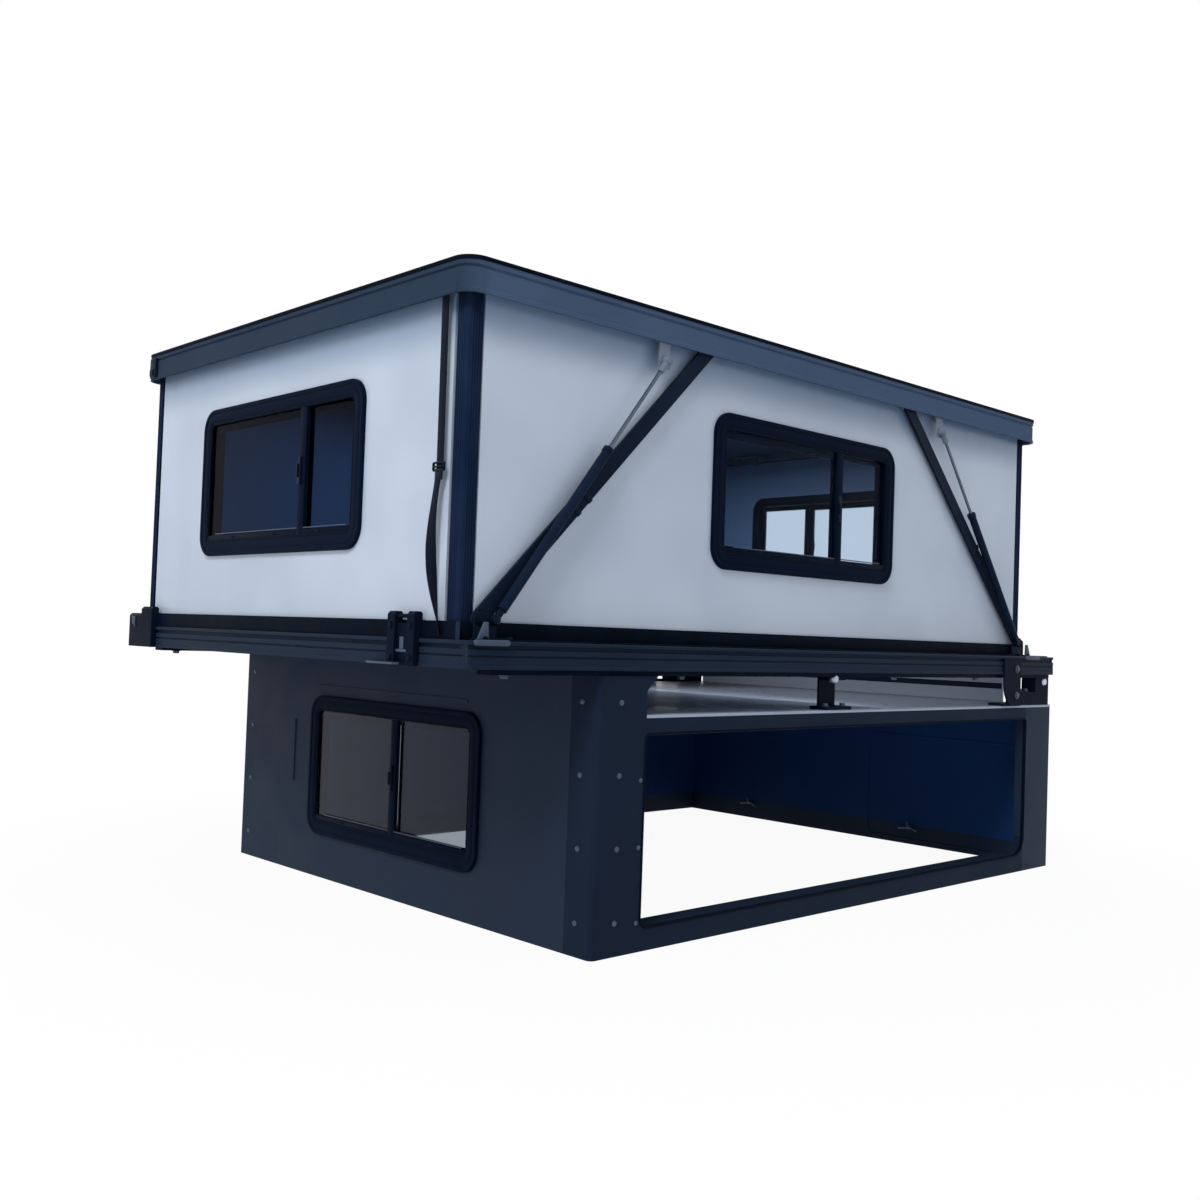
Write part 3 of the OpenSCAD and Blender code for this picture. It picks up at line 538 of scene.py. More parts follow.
NODE_FINISHES: dict[str, Finish] = {
    **dict.fromkeys((
        "canopy_post_front_far", "canopy_post_rear_near", "canopy_post_rear_far", "canopy_far_wall",
        "canopy_front_wall", "canopy_rear_wall"), CANOPY_COAT),
    **dict.fromkeys(("canopy_post_front_near", "canopy_near_sill", "canopy_near_header"), CANOPY_SHADED_SIDE_COAT),
    **dict.fromkeys(("canopy_roof", "rear_riser"), DECK_COAT),
    **dict.fromkeys(("roof_panel", "roof_rim"), ROOF_COAT),
    **dict.fromkeys(("tray_rail_near", "tray_rail_far", "tray_rail_front", "tray_rail_rear"), TRAY_COAT),
    **dict.fromkeys(("mount_brackets", "tray_bearers", "front_latch"), CURB_COAT),
    **dict.fromkeys(("lift_arms", "arm_base_brackets", "gas_cylinders"), ARM_COAT),
    **dict.fromkeys((
        "canopy_window_frame", "window_frame_near", "window_frame_far", "window_frame_front",
        "window_frame_rear"), FRAME_COAT),
    **dict.fromkeys(("wall_near", "wall_far", "wall_front", "wall_rear"), WALL_SKIN),
    **dict.fromkeys(("window_glass_near", "window_glass_far", "window_glass_rear"), TENT_GLASS),
    "window_glass_front": FRONT_GLASS_PAINTED_SHADE,
    "canopy_window_glass": CANOPY_GLASS,
    "tray_floor": FLOOR_SKIN,
    "corner_seals": SEAL_RUBBER,
    **dict.fromkeys(("wall_hinges", "roof_frame"), FRAME_ALLOY),
    "arm_top_fittings": PALE_COAT,
    "gas_rods": ROD_CHROME,
    "strap": STRAP_WEAVE,
    "strap_buckle": BUCKLE_NYLON,
}


def dress_nodes() -> None:
    """Gives every CAD node its finish."""
    for name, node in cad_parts.items():
        finish = NODE_FINISHES[name]
        for holder in node.material_slots:
            holder.material = finish.material()
        log.info("node %s: %s", name, finish.name)


def close_up(part: Mesh) -> Mesh:
    """Merges doubles and points every face outwards.

    Args:
        part: the part.

    Returns:
        The same part.
    """
    bmesh.ops.remove_doubles(part, verts=part.verts[:], dist=TOUCH)
    bmesh.ops.recalc_face_normals(part, faces=part.faces[:])
    return part


def soften(part: Mesh, radius: float, least: float = 50.0) -> Mesh:
    """Rounds the sharp edges of a closed part.

    Args:
        part: the part.
        radius: size of the rounding.
        least: angle in degrees from which an edge counts as sharp.

    Returns:
        The same part.
    """
    sharp = [e for e in part.edges if len(e.link_faces) == 2 and e.calc_face_angle() > math.radians(least)]
    bmesh.ops.bevel(
        part, geom=sharp, affect="EDGES", offset=radius, segments=EDGE_STEPS, profile=0.5, material=-1,
        clamp_overlap=True)
    return part


def block(size: Sequence[float], radius: float = 0.0) -> Mesh:
    """A box with softened edges.

    Args:
        size: its length along X, Y and Z.
        radius: size of the rounding, or 0 for none.

    Returns:
        The part, centred on the origin.
    """
    part = bmesh.new()
    bmesh.ops.create_cube(part, size=1.0, matrix=Matrix.Diagonal((*size, 1.0)))
    return soften(part, radius) if radius else part


def outline(size: Sequence[float], radius: float | Sequence[float]) -> Mesh:
    """A flat rectangle with rounded corners.

    Args:
        size: its width along X and height along Y.
        radius: of all corners, or of each, anticlockwise from the lower left one.

    Returns:
        The part: one face on the XY plane.
    """
    part = bmesh.new()
    bmesh.ops.create_grid(part, x_segments=1, y_segments=1, size=0.5, matrix=Matrix.Diagonal((*size, 1.0, 1.0)))
    each = (radius,) * 4 if isinstance(radius, float) else radius
    for (right, up), size_of_round in zip(((-1, -1), (1, -1), (1, 1), (-1, 1)), each):
        corner = Vector((right * size[0] / 2, up * size[1] / 2, 0))
        bmesh.ops.bevel(
            part, geom=[v for v in part.verts if (v.co - corner).length < TOUCH], affect="VERTICES",
            offset=size_of_round, segments=CORNER_STEPS, profile=0.5, material=-1)
    return part


def raise_up(part: Mesh, height: float) -> Mesh:
    """Extrudes a flat part along Z.

    Args:
        part: flat faces on the XY plane.
        height: how far.

    Returns:
        The same part, closed.
    """
    made = bmesh.ops.extrude_face_region(part, geom=part.faces[:])
    tops = [g for g in made["geom"] if isinstance(g, bmesh.types.BMVert)]
    bmesh.ops.translate(part, verts=tops, vec=(0, 0, height))
    return close_up(part)


def plate(
    size: Sequence[float], radius: float | Sequence[float], thickness: float, soft: float = 0.0
) -> Mesh:
    """A flat plate with rounded corners.

    Args:
        size: its width along X and height along Y.
        radius: of all corners, or of each, anticlockwise from the lower left one.
        thickness: along Z, from 0.
        soft: rounding of its edges.

    Returns:
        The part.
    """
    part = raise_up(outline(size, radius), thickness)
    return soften(part, soft) if soft else part


def ring(
    size: Sequence[float], radius: float | Sequence[float], width: float, thickness: float, soft: float = 0.0
) -> Mesh:
    """A flat rounded frame.

    Args:
        size: its outer width along X and height along Y.
        radius: outer radius of all corners, or of each, anticlockwise from the lower left one.
        width: width of its limbs.
        thickness: along Z, from 0.
        soft: rounding of its edges.

    Returns:
        The part.
    """
    part = outline(size, radius)
    bmesh.ops.inset_region(part, faces=part.faces[:], thickness=width, use_even_offset=True, use_boundary=True)
    middle = max(part.faces, key=lambda f: f.calc_area())
    bmesh.ops.delete(part, geom=[middle], context="FACES_ONLY")
    raise_up(part, thickness)
    return soften(part, soft, least=60.0) if soft else part


def turned(profile: Sequence[Span], steps: int = 24) -> Mesh:
    """A turned shape round the Z axis.

    Args:
        profile: radius and height of each point, from one end to the other.
        steps: faces round it.

    Returns:
        The closed part.
    """
    part = bmesh.new()
    points = [part.verts.new((radius, 0, height)) for radius, height in profile]
    edges = [part.edges.new(pair) for pair in zip(points, points[1:])]
    bmesh.ops.spin(
        part, geom=points + edges, cent=(0, 0, 0), axis=(0, 0, 1), dvec=(0, 0, 0), angle=math.tau, steps=steps,
        use_merge=True, use_duplicate=False)
    return close_up(part)


def rivet(radius: float, height: float) -> Mesh:
    """A domed rivet head that stands on z = 0.

    Args:
        radius: of the head.
        height: of the dome.

    Returns:
        The part.
    """
    arc = [(radius * math.cos(a), height * math.sin(a)) for a in (0.0, 0.35, 0.75, 1.15)]
    return turned([(0, -0.001), (radius, -0.001), *arc, (0, height)], 20)


def hex_bolt(across: float, height: float) -> Mesh:
    """A hexagon head on a washer that stands on z = 0.

    Args:
        across: width across the corners of the head.
        height: of the head, above the washer.

    Returns:
        The part.
    """
    part = bmesh.new()
    bmesh.ops.create_cone(
        part, cap_ends=True, segments=6, radius1=across / 2, radius2=across / 2, depth=height,
        matrix=Matrix.Translation((0, 0, 0.0015 + height / 2)))
    soften(part, across * 0.05, least=45.0)
    washer = turned([
        (0, -0.001), (across * 0.66, -0.001), (across * 0.68, 0.001), (across * 0.62, 0.0018), (0, 0.0018)])
    return join(part, washer)


def tube(start: Sequence[float], end: Sequence[float], radius: float, segments: int = 16) -> Mesh:
    """A round bar between two points.

    Args:
        start: middle of one end.
        end: middle of the other.
        radius: of the bar.
        segments: faces round it.

    Returns:
        The part, in place.
    """
    start, end = Vector(start), Vector(end)
    way = end - start
    turn = way.to_track_quat("Z", "Y").to_matrix().to_4x4()
    part = bmesh.new()
    bmesh.ops.create_cone(
        part, cap_ends=True, segments=segments, radius1=radius, radius2=radius, depth=way.length,
        matrix=Matrix.Translation((start + end) / 2) @ turn)
    return soften(part, radius * 0.2)


def join(first: Mesh, *others: Mesh) -> Mesh:
    """Adds parts to the first one and frees them.

    Args:
        first: the part that the others are added to.
        others: the parts to add.

    Returns:
        The first part.
    """
    for other in others:
        mesh = bpy.data.meshes.new("part")
        other.to_mesh(mesh)
        other.free()
        first.from_mesh(mesh)
        bpy.data.meshes.remove(mesh)
    return first


def moved(part: Mesh, matrix: Matrix) -> Mesh:
    """Puts a part in its place.

    Args:
        part: the part.
        matrix: where it goes; a mirror is allowed.

    Returns:
        The same part.
    """
    part.transform(matrix)
    if matrix.determinant() < 0:
        bmesh.ops.reverse_faces(part, faces=part.faces[:])
    return part


def at(x: float, y: float, z: float) -> Matrix:
    """A plain move."""
    return Matrix.Translation((x, y, z))


def blocks(*boxes: Box) -> Mesh:
    """Blocks as one part, each given by its size, its middle and the rounding of its edges."""
    return join(*(moved(block(size, radius), at(*middle)) for size, middle, radius in boxes))


def rods(*bars: Rod) -> Mesh:
    """Round bars as one part, each given by its two ends and its radius."""
    return join(*(tube(*bar) for bar in bars))


def repeat(part: Mesh, places: Iterable[Matrix]) -> Mesh:
    """Copies a part to several places.

    Args:
        part: the part, which is freed.
        places: where the copies go.

    Returns:
        All copies as one part.
    """
    copies = [moved(part.copy(), place) for place in places]
    part.free()
    return join(*copies)


MIRROR_SIDE = Matrix.Diagonal((1, -1, 1, 1))


def both_sides(part: Mesh) -> Mesh:
    """Adds the far side's copy of a part that is in place on the near side."""
    return join(part, moved(part.copy(), MIRROR_SIDE))


def both_ends(part: Mesh, middle: float) -> Mesh:
    """Adds the copy of a part at the other end.

    Args:
        part: the part, in place.
        middle: X of the plane between the ends.

    Returns:
        Both parts as one.
    """
    return join(part, moved(part.copy(), at(2 * middle, 0, 0) @ Matrix.Diagonal((-1, 1, 1, 1))))


def four(part: Mesh, middle: float) -> Mesh:
    """Adds the copies of a part at the other end and on the far side."""
    return both_sides(both_ends(part, middle))


@dataclass
class SubAssembly:
    """A group of pieces that ride on one body of the CAD part."""

    body: str = BASE

    def build(self) -> None:
        """Makes the group's pieces."""
        raise NotImplementedError

    def piece(
        self, name: str, part: Mesh, finish: Finish, slot: str, smooth: float = 40.0
    ) -> bpy.types.Object:
        """Makes an object of a part that is in its place.

        Args:
            name: the piece's name.
            part: its shape, which is freed.
            finish: its finish.
            slot: the material slot that it belongs to; not used.
            smooth: angle in degrees up to which an edge is shaded smooth.

        Returns:
            The object.
        """
        mesh = bpy.data.meshes.new(name)
        part.to_mesh(mesh)
        part.free()
        mesh.shade_smooth()
        mesh.set_sharp_from_angle(angle=math.radians(smooth))
        mesh.materials.append(finish.material())
        made = bpy.data.objects.new(name, mesh)
        bpy.context.scene.collection.objects.link(made)
        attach(made, self.body)
        log.info("piece %s: %d faces on %s", name, len(mesh.polygons), self.body)
        return made


@dataclass
class Canopy(SubAssembly):
    """The shell on the bed rails: rivets, opening trim, catches, rear door and what holds the tray on it."""

    rivet_rows: tuple[float, ...] = (0.066, 0.212, 0.357, 0.502)
    jamb_rows: tuple[float, ...] = (0.059, 0.21, 0.345)
    front_column: float = 0.048
    side_column: float = 0.062
    jamb_column: float = 0.123
    corner_rivet: Span = (0.006, 0.0026)
    jamb_rivet: Span = (0.005, 0.0024)
    opening: tuple[float, float, float, float] = (-0.625, 0.945, 0.048, 0.436)
    front_round: float = 0.02
    rear_round: float = 0.05
    header_round: float = 0.012
    trim_width: float = 0.004
    trim_section: Section = (0.005, 0.01, 0.0015)
    trim_set_back: float = 0.008
    catch: tuple[Box, ...] = (
        ((0.05, 0.006, 0.026), (0, 0, 0), 0.002), ((0.014, 0.012, 0.012), (-0.01, -0.007, 0), 0.002),
        ((0.014, 0.012, 0.012), (0.01, -0.007, 0), 0.002))
    catch_places: tuple[float, ...] = (-0.6, 0.008, 0.9)
    catch_seat: Span = (0.001, 0.012)
    grip: tuple[Rod, ...] = (
        ((0, -0.034, 0), (0, -0.008, 0.01), 0.0028), ((0, -0.01, 0.01), (0, 0.034, 0.003), 0.0028),
        ((0.012, -0.004, 0.008), (0, -0.004, 0.008), 0.0045), ((0, -0.004, 0.004), (0, 0.004, 0.026), 0.0022))
    handle_places: tuple[float, ...] = (0.405, -0.257)
    handle_seat: Span = (0.0105, 0.045)
    inner_panel: tuple[Span, Span] = ((-0.63, 0.012), (-0.095, 0.35))
    swage_round: float = 0.02
    swage_section: Section = (0.006, 0.0025, 0.001)
    bolt_line: float = -0.69
    foot_bolt: Span = (0.016, 0.006)
    foot_bolts: tuple[float, ...] = (0.005, 0.075)
    foot_top: float = 0.008
    block_bolt: Span = (0.02, 0.008)
    block_bolts: tuple[float, ...] = (0.94, 0.975)
    block_top: float = 0.038
    plate_bolt: Span = (0.016, 0.0035)
    plate_column: float = 0.868
    plate_rows: tuple[float, ...] = (0.03, 0.105)
    knob: Place = (0.021, 0.074, 0.7)
    knob_profile: tuple[Span, ...] = ((0, -0.004), (0.012, -0.004), (0.012, 0.004), (0.008, 0.01), (0, 0.011))
    button: Place = (1.054, 0.068, 0.71)
    button_profile: tuple[Span, ...] = ((0, 0), (0.011, 0), (0.009, 0.004), (0, 0.0045))
    edge_highlight: Place = (1.09, 0.002, 0.0016)
    edge_line: float = -0.7114
    riser_band: Span = (0.003, 0.017)
    riser_band_proud: float = 0.0012
    riser_band_level: float = 0.047
    latch_plate: Place = (0.11, 0.075, 0.003)
    latch_rim: Span = (0.088, 0.055)
    latch_rim_section: Section = (0.004, 0.0025, 0.0008)
    latch_paddle: Box = ((0.07, 0.032, 0.006), (0, -0.004, 0.004), 0.0022)
    door_latch: Span = (0.36, 0.13)
    hinge_leaf: Place = (0.05, 0.06, 0.003)
    hinge_barrel: Rod = ((-0.027, 0.034, 0.003), (0.027, 0.034, 0.003), 0.005)
    hinge_rivet: Span = (0.004, 0.002)
    hinge_rivets: tuple[Span, ...] = ((-0.014, -0.012), (0.014, -0.012))
    door_hinge: Span = (0.33, 0.4)

    def build(self) -> None:
        """Makes the rivets, the trim, the inner fittings, the bracket bolts and the rear door's fittings."""
        corner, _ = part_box("canopy_post_front_near")
        self.rivets(corner)
        self.opening_trim(corner)
        self.inner_fittings()
        self.bracket_bolts()
        self.rear_door()

    def rivets(self, corner: Sequence[float]) -> None:
        """Sets rivets in columns beside the front corners.

        Args:
            corner: lowest corner of the near front post.
        """
        x, y, _ = corner
        columns = []
        for row in self.rivet_rows:
            columns += (
                Face.FRONT.place(-y - self.front_column, row, -x), Face.NEAR.place(x + self.side_column, row, -y))
        jamb = [Face.NEAR.place(x + self.jamb_column, row, -y) for row in self.jamb_rows]
        heads = join(repeat(rivet(*self.corner_rivet), columns), repeat(rivet(*self.jamb_rivet), jamb))
        self.piece("canopy_rivets", both_sides(heads), DULL_STEEL, "alloy")

    def opening_trim(self, corner: Sequence[float]) -> None:
        """Presses a rubber edging round the side opening.

        Args:
            corner: lowest corner of the near front post.
        """
        x0, x1, z0, z1 = self.opening
        size = (x1 - x0 + 2 * self.trim_width, z1 - z0 + 2 * self.trim_width)
        sill_rounds = (self.front_round + self.trim_width, self.rear_round + self.trim_width)
        trim = ring(size, (*sill_rounds, self.header_round, self.header_round), *self.trim_section)
        place = Face.NEAR.place((x0 + x1) / 2, (z0 + z1) / 2, -corner[1] - self.trim_set_back)
        self.piece("opening_trim", moved(trim, place), BEAD_RUBBER, "seal")

    def inner_fittings(self) -> None:
        """Hangs catches under the header, and tie handles and a pressed panel inside the rear wall."""
        low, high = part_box("canopy_near_header")
        out, up = self.catch_seat
        catches = repeat(blocks(*self.catch), [at(x, high[1] + out, low[2] + up) for x in self.catch_places])
        self.piece("opening_catches", catches, DULL_STEEL, "alloy")
        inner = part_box("canopy_rear_wall")[0][0]
        out, up = self.handle_seat
        handles = repeat(rods(*self.grip), [at(inner - out, y, up) for y in self.handle_places])
        self.piece("rear_tie_handles", handles, DULL_STEEL, "alloy")
        low, high = self.inner_panel
        panel = ring((high[0] - low[0], high[1] - low[1]), self.swage_round, *self.swage_section)
        place = Face.FRONT.place(-(low[0] + high[0]) / 2, (low[1] + high[1]) / 2, -inner - SUNK)
        self.piece("rear_inner_panel_swage", moved(panel, place), CANOPY_COAT, "shell")

    def bracket_bolts(self) -> None:
        """Bolts the tray brackets down, and lays a painted highlight along the deck's side edges and a dark band
        across the riser.
        """
        outer = -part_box("mount_brackets")[0][1]
        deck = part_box("canopy_roof")[1][2]
        bolts = join(
            repeat(hex_bolt(*self.foot_bolt), [at(x, self.bolt_line, deck + self.foot_top) for x in self.foot_bolts]),
            repeat(hex_bolt(*self.block_bolt), [
                at(x, self.bolt_line, deck + self.block_top) for x in self.block_bolts]),
            repeat(hex_bolt(*self.plate_bolt), [
                Face.NEAR.place(self.plate_column, deck + row, outer) for row in self.plate_rows]))
        self.piece("bracket_bolts", both_sides(bolts), DULL_STEEL, "alloy")
        heads = bmesh.new()
        for (x, up, out), profile, steps in (
                (self.knob, self.knob_profile, 20), (self.button, self.button_profile, 16)):
            join(heads, moved(turned(profile, steps), Face.NEAR.place(x, deck + up, out)))
        self.piece("bracket_bright_bolts", both_sides(heads), PLATED_STEEL, "alloy")
        # painted highlight: a pale strip along part of the deck's edge stands in for the light that the edge catches
        edge = blocks((self.edge_highlight, (self.edge_highlight[0] / 2, self.edge_line, deck - 0.0001), 0.0005))
        self.piece("deck_edge_painted_highlight", both_sides(edge), PALE_COAT, "alloy")
        # a dark band across the riser's face, a little above the deck
        low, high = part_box("rear_riser")
        thick, tall = self.riser_band
        strip = blocks((
            (thick, high[1] - low[1] - 0.004, tall),
            (low[0] - self.riser_band_proud, (low[1] + high[1]) / 2, deck + self.riser_band_level), 0.001))
        self.piece("riser_dark_band", strip, TRAY_COAT, "bracket")

    def rear_door(self) -> None:
        """Fits two paddle latches and a pair of strap hinges to the rear door panel."""
        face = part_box("canopy_rear_wall")[1][0]
        *size, thick = self.latch_plate
        rim = moved(ring(self.latch_rim, 0.009, *self.latch_rim_section), at(0, 0, thick - SUNK))
        dish = join(plate(size, 0.012, thick, 0.001), rim, blocks(self.latch_paddle))
        *size, thick = self.hinge_leaf
        rivets = repeat(rivet(*self.hinge_rivet), [at(*spot, thick) for spot in self.hinge_rivets])
        leaf = join(plate(size, 0.006, thick, 0.0008), rods(self.hinge_barrel), rivets)
        for name, part, (y, z) in (
                ("rear_paddle_latches", dish, self.door_latch), ("rear_door_hinges", leaf, self.door_hinge)):
            pair = repeat(part, [Face.REAR.place(-y, z, face), Face.REAR.place(y, z, face)])
            self.piece(name, pair, CURB_COAT, "bracket")


@dataclass
class SlidingWindow(SubAssembly):
    """One framed sliding window, dressed over its CAD frame and panes."""

    name: str = "near"
    node: str = "window_frame_near"
    face: Face = Face.NEAR
    flange: float = 0.034
    corner: float = 0.05
    stile: float = 0.115
    lip: float = 0.0022
    lip_width: float = 0.011
    lip_root: float = 0.003
    land_in: float = 0.009
    bead_section: Section = (0.006, 0.006, 0.0018)
    bead_lap: float = 0.002
    bead_back: float = 0.0055
    sash_round: float = 0.012
    sash_play: float = 0.004
    outer_sash: Section = (0.016, 0.007, 0.0014)
    outer_back: float = 0.0172
    inner_sash: Section = (0.012, 0.006, 0.0012)
    inner_back: float = 0.0205
    track_line: float = 0.009
    guide_line: float = 0.018
    stops: tuple[float, ...] = (-0.3, 0.0, 0.3)

    def build(self) -> None:
        """Makes the rounded flange, the glazing bead, the sashes, the track and the pull."""
        low, high = (Vector(c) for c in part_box(self.node))
        turned_box = [self.face.matrix.inverted() @ c for c in (low, high)]
        lows = Vector(map(min, *turned_box))
        highs = Vector(map(max, *turned_box))
        middle = (lows + highs) / 2
        width, height = highs.x - lows.x, highs.y - lows.y
        place = self.face.place(middle.x, middle.y, highs.z)
        sight = (width - 2 * self.flange, height - 2 * self.flange)
        self.flange_lip(place, (width, height))
        self.glazing(place, sight)
        self.sashes(place, sight)

    def flange_lip(self, place: Matrix, size: Sequence[float]) -> None:
        """Rounds the flange over with a raised outer bead and a flat inner land.

        Args:
            place: middle of the flange's outer face.
            size: width and height over the flange.
        """
        outer = ring(size, self.corner, self.lip_width, self.lip + self.lip_root, 0.0018)
        land_size = [side - 2 * self.land_in for side in size]
        land = ring(land_size, self.corner - self.land_in, self.flange - 0.012, 0.0012, 0.0005)
        lip = join(moved(outer, at(0, 0, -self.lip_root)), moved(land, at(0, 0, -0.0002)))
        self.piece(f"window_{self.name}_flange_lip", moved(lip, place), FRAME_COAT, "window_frame")

    def glazing(self, place: Matrix, sight: Sequence[float]) -> None:
        """Presses a rubber bead round the panes.

        Args:
            place: middle of the flange's outer face.
            sight: width and height of the opening in the flange.
        """
        radius = self.corner - self.flange + self.bead_lap
        bead = ring([side + 2 * self.bead_lap for side in sight], radius, *self.bead_section)
        moved(bead, place @ at(0, 0, -self.bead_back))
        self.piece(f"window_{self.name}_glazing_bead", bead, BEAD_RUBBER, "seal")

    def sashes(self, place: Matrix, sight: Sequence[float]) -> None:
        """Frames the sliding pane and lays the track and its pull.

        Args:
            place: middle of the flange's outer face.
            sight: width and height of the opening in the flange.
        """
        stile, (wide, tall) = self.stile, sight
        sill = -tall / 2
        high = tall - 2 * self.sash_play
        sash = ring((wide / 2 + stile - self.sash_play, high), self.sash_round, *self.outer_sash)
        moved(sash, at(stile / 2 - wide / 4 - 0.001, 0, -self.outer_back))
        inner = ring((wide / 2 - stile - self.sash_play, high), self.sash_round, *self.inner_sash)
        moved(inner, at(stile / 2 + wide / 4 + 0.001, 0, -self.inner_back))
        post = blocks(((0.026, tall - self.sash_play, 0.004), (stile, 0, -0.0022), 0.0014))
        stops = [
            ((0.02, 0.006, 0.003), (share * wide, sill + self.track_line, -0.0008), 0.0008) for share in self.stops]
        track = blocks(((wide - 0.01, 0.012, 0.006), (0, sill + self.track_line, -0.0035), 0.0012), *stops)
        guide = blocks(((wide - 0.06, 0.0025, 0.004), (0.01, sill + self.guide_line, -0.003), 0.0008))
        pull = blocks(
            ((0.012, 0.06, 0.006), (stile - 0.004, 0, 0.002), 0.002),
            ((0.006, 0.03, 0.006), (stile - 0.006, 0, 0.006), 0.002))
        for kind, part, finish, slot in (
                ("sashes", join(sash, inner, post), FRAME_COAT, "window_frame"),
                ("track", track, CURB_COAT, "window_frame"),
                ("guide", guide, FOOT_COAT, "window_frame"),
                ("pull", pull, BUCKLE_NYLON, "buckle")):
            self.piece(f"window_{self.name}_{kind}", moved(part, place), finish, slot)


@dataclass
class WallSeals(SubAssembly):
    """Ribbed rubber corner posts, with fins and bulbs that close the gaps round the folding walls."""

    post: Span = (0.034, 0.03)
    post_round: float = 0.01
    ribs: int = 4
    first_rib: float = 0.0105
    rib_pitch: float = 0.0058
    rib_width: float = 0.0042
    rib_proud: float = 0.0013
    rib_deep: float = 0.004
    rib_short: float = 0.012
    fin: float = 0.0045
    fin_root: float = 0.004
    fin_thick: float = 0.004
    fin_in: float = 0.006
    fin_short: float = 0.03
    soft: float = 0.0012
    bulb: float = 0.0042
    bulb_in: float = 0.008
    bulb_short: float = 0.04

    def build(self) -> None:
        """Makes the four ribbed posts and the bulbs under the roof frame."""
        low, high = (Vector(c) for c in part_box("corner_seals"))
        wide, deep = self.post
        tall = high.z - low.z
        level = low.z + tall / 2
        post = block((wide, deep, tall))
        edge = [
            e for e in post.edges
            if all(abs(v.co.x + wide / 2) < TOUCH and abs(v.co.y + deep / 2) < TOUCH for v in e.verts)]
        bmesh.ops.bevel(
            post, geom=edge, affect="EDGES", offset=self.post_round, segments=5, profile=0.5, material=-1)
        moved(post, at(low.x + wide / 2, low.y + deep / 2, level))
        sunk, rib_tall, rib_level = self.rib_deep / 2 - self.rib_proud, tall - self.rib_short, level - 0.003
        for i in range(self.ribs):
            side = self.first_rib + i * self.rib_pitch
            join(post, blocks(
                ((self.rib_width, self.rib_deep, rib_tall),
                 (low.x + side + 0.001, low.y + sunk, rib_level), self.soft),
                ((self.rib_deep, self.rib_width, rib_tall), (low.x + sunk, low.y + side, rib_level), self.soft)))
        thick, long, fin_tall = self.fin_thick, self.fin + self.fin_root, tall - self.fin_short
        reach = (self.fin - self.fin_root) / 2
        fins = blocks(
            ((long, thick, fin_tall), (low.x + wide + reach, low.y + self.fin_in, level), self.soft),
            ((thick, long, fin_tall), (low.x + self.fin_in, low.y + deep + reach, level), self.soft))
        corners = four(join(post, fins), (low.x + high.x) / 2)
        made = self.piece("corner_seal_posts", corners, SEAL_RUBBER, "seal")
        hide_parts("corner_seals")
        self.head_bulbs(low, high)

    def head_bulbs(self, low: Vector, high: Vector) -> None:
        """Lays bulbs under the roof frame, over the walls.

        Args:
            low: lowest corner of the seal posts.
            high: highest corner of the seal posts.
        """
        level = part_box("roof_frame")[0][2] - self.bulb / 2 + 0.0006
        middle = (low.x + high.x) / 2
        half_x, half_y = (side / 2 - self.bulb_short for side in (high - low).xy)
        y, x = low.y + self.bulb_in, low.x + self.bulb_in
        side = tube((middle - half_x, y, level), (middle + half_x, y, level), self.bulb / 2, 10)
        end = tube((x, -half_y, level), (x, half_y, level), self.bulb / 2, 10)
        self.piece("wall_head_bulbs", join(both_sides(side), both_ends(end, middle)), BEAD_RUBBER, "seal")


@dataclass
class Tray(SubAssembly):
    """The grooved tray: bulb seal on its ledge, a dark strip over its curb, and bearer bolts."""

    bulb_in: float = 0.018
    bulb: Span = (0.007, 0.004)
    bulb_soft: float = 0.0016
    bulb_short: float = 0.03
    curb: tuple[float, float, float, float] = (-1.081, 1.005, 0.666, 0.6505)
    strip_proud: float = 0.0007
    strip_width: float = 0.0022
    strip_over: float = 0.0004
    bearer_bolt: Span = (0.016, 0.006)
    bearer_bolts: tuple[float, ...] = (-0.98, -0.5, 0.3, 0.7)
    bearer_in: float = 0.02

    def build(self) -> None:
        """Makes the ledge bulb, the dark strip over the curb and the bolts."""
        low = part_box("tray_rail_near")[0]
        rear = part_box("tray_rail_rear")[1][0]
        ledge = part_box("arm_base_brackets")[0][2] + 0.001
        wide, high = self.bulb
        bulb = both_sides(blocks((
            (rear - low[0] - self.bulb_short, wide, high),
            ((rear + low[0]) / 2, low[1] + self.bulb_in, ledge), self.bulb_soft)))
        across = -2 * low[1] - 2 * self.bulb_in
        join(bulb, blocks(((wide, across, high), (rear - self.bulb_in, 0, ledge), self.bulb_soft)))
        self.piece("tray_ledge_bulb", bulb, BEAD_RUBBER, "seal")
        front, back, half, top = self.curb
        size = (back - front + 2 * self.strip_proud, 2 * half + 2 * self.strip_proud)
        strip = ring(size, 0.001, self.strip_width, top - ledge + self.strip_over, 0.0004)
        self.piece("curb_dark_strip", moved(strip, at((front + back) / 2, 0, ledge)), BEAD_RUBBER, "seal")
        _, side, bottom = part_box("tray_bearers")[0]
        over = Matrix.Rotation(math.pi, 4, "X")
        bolts = repeat(hex_bolt(*self.bearer_bolt), [
            at(x, side + self.bearer_in, bottom) @ over for x in self.bearer_bolts])
        self.piece("bearer_bolts", both_sides(bolts), DULL_STEEL, "alloy")


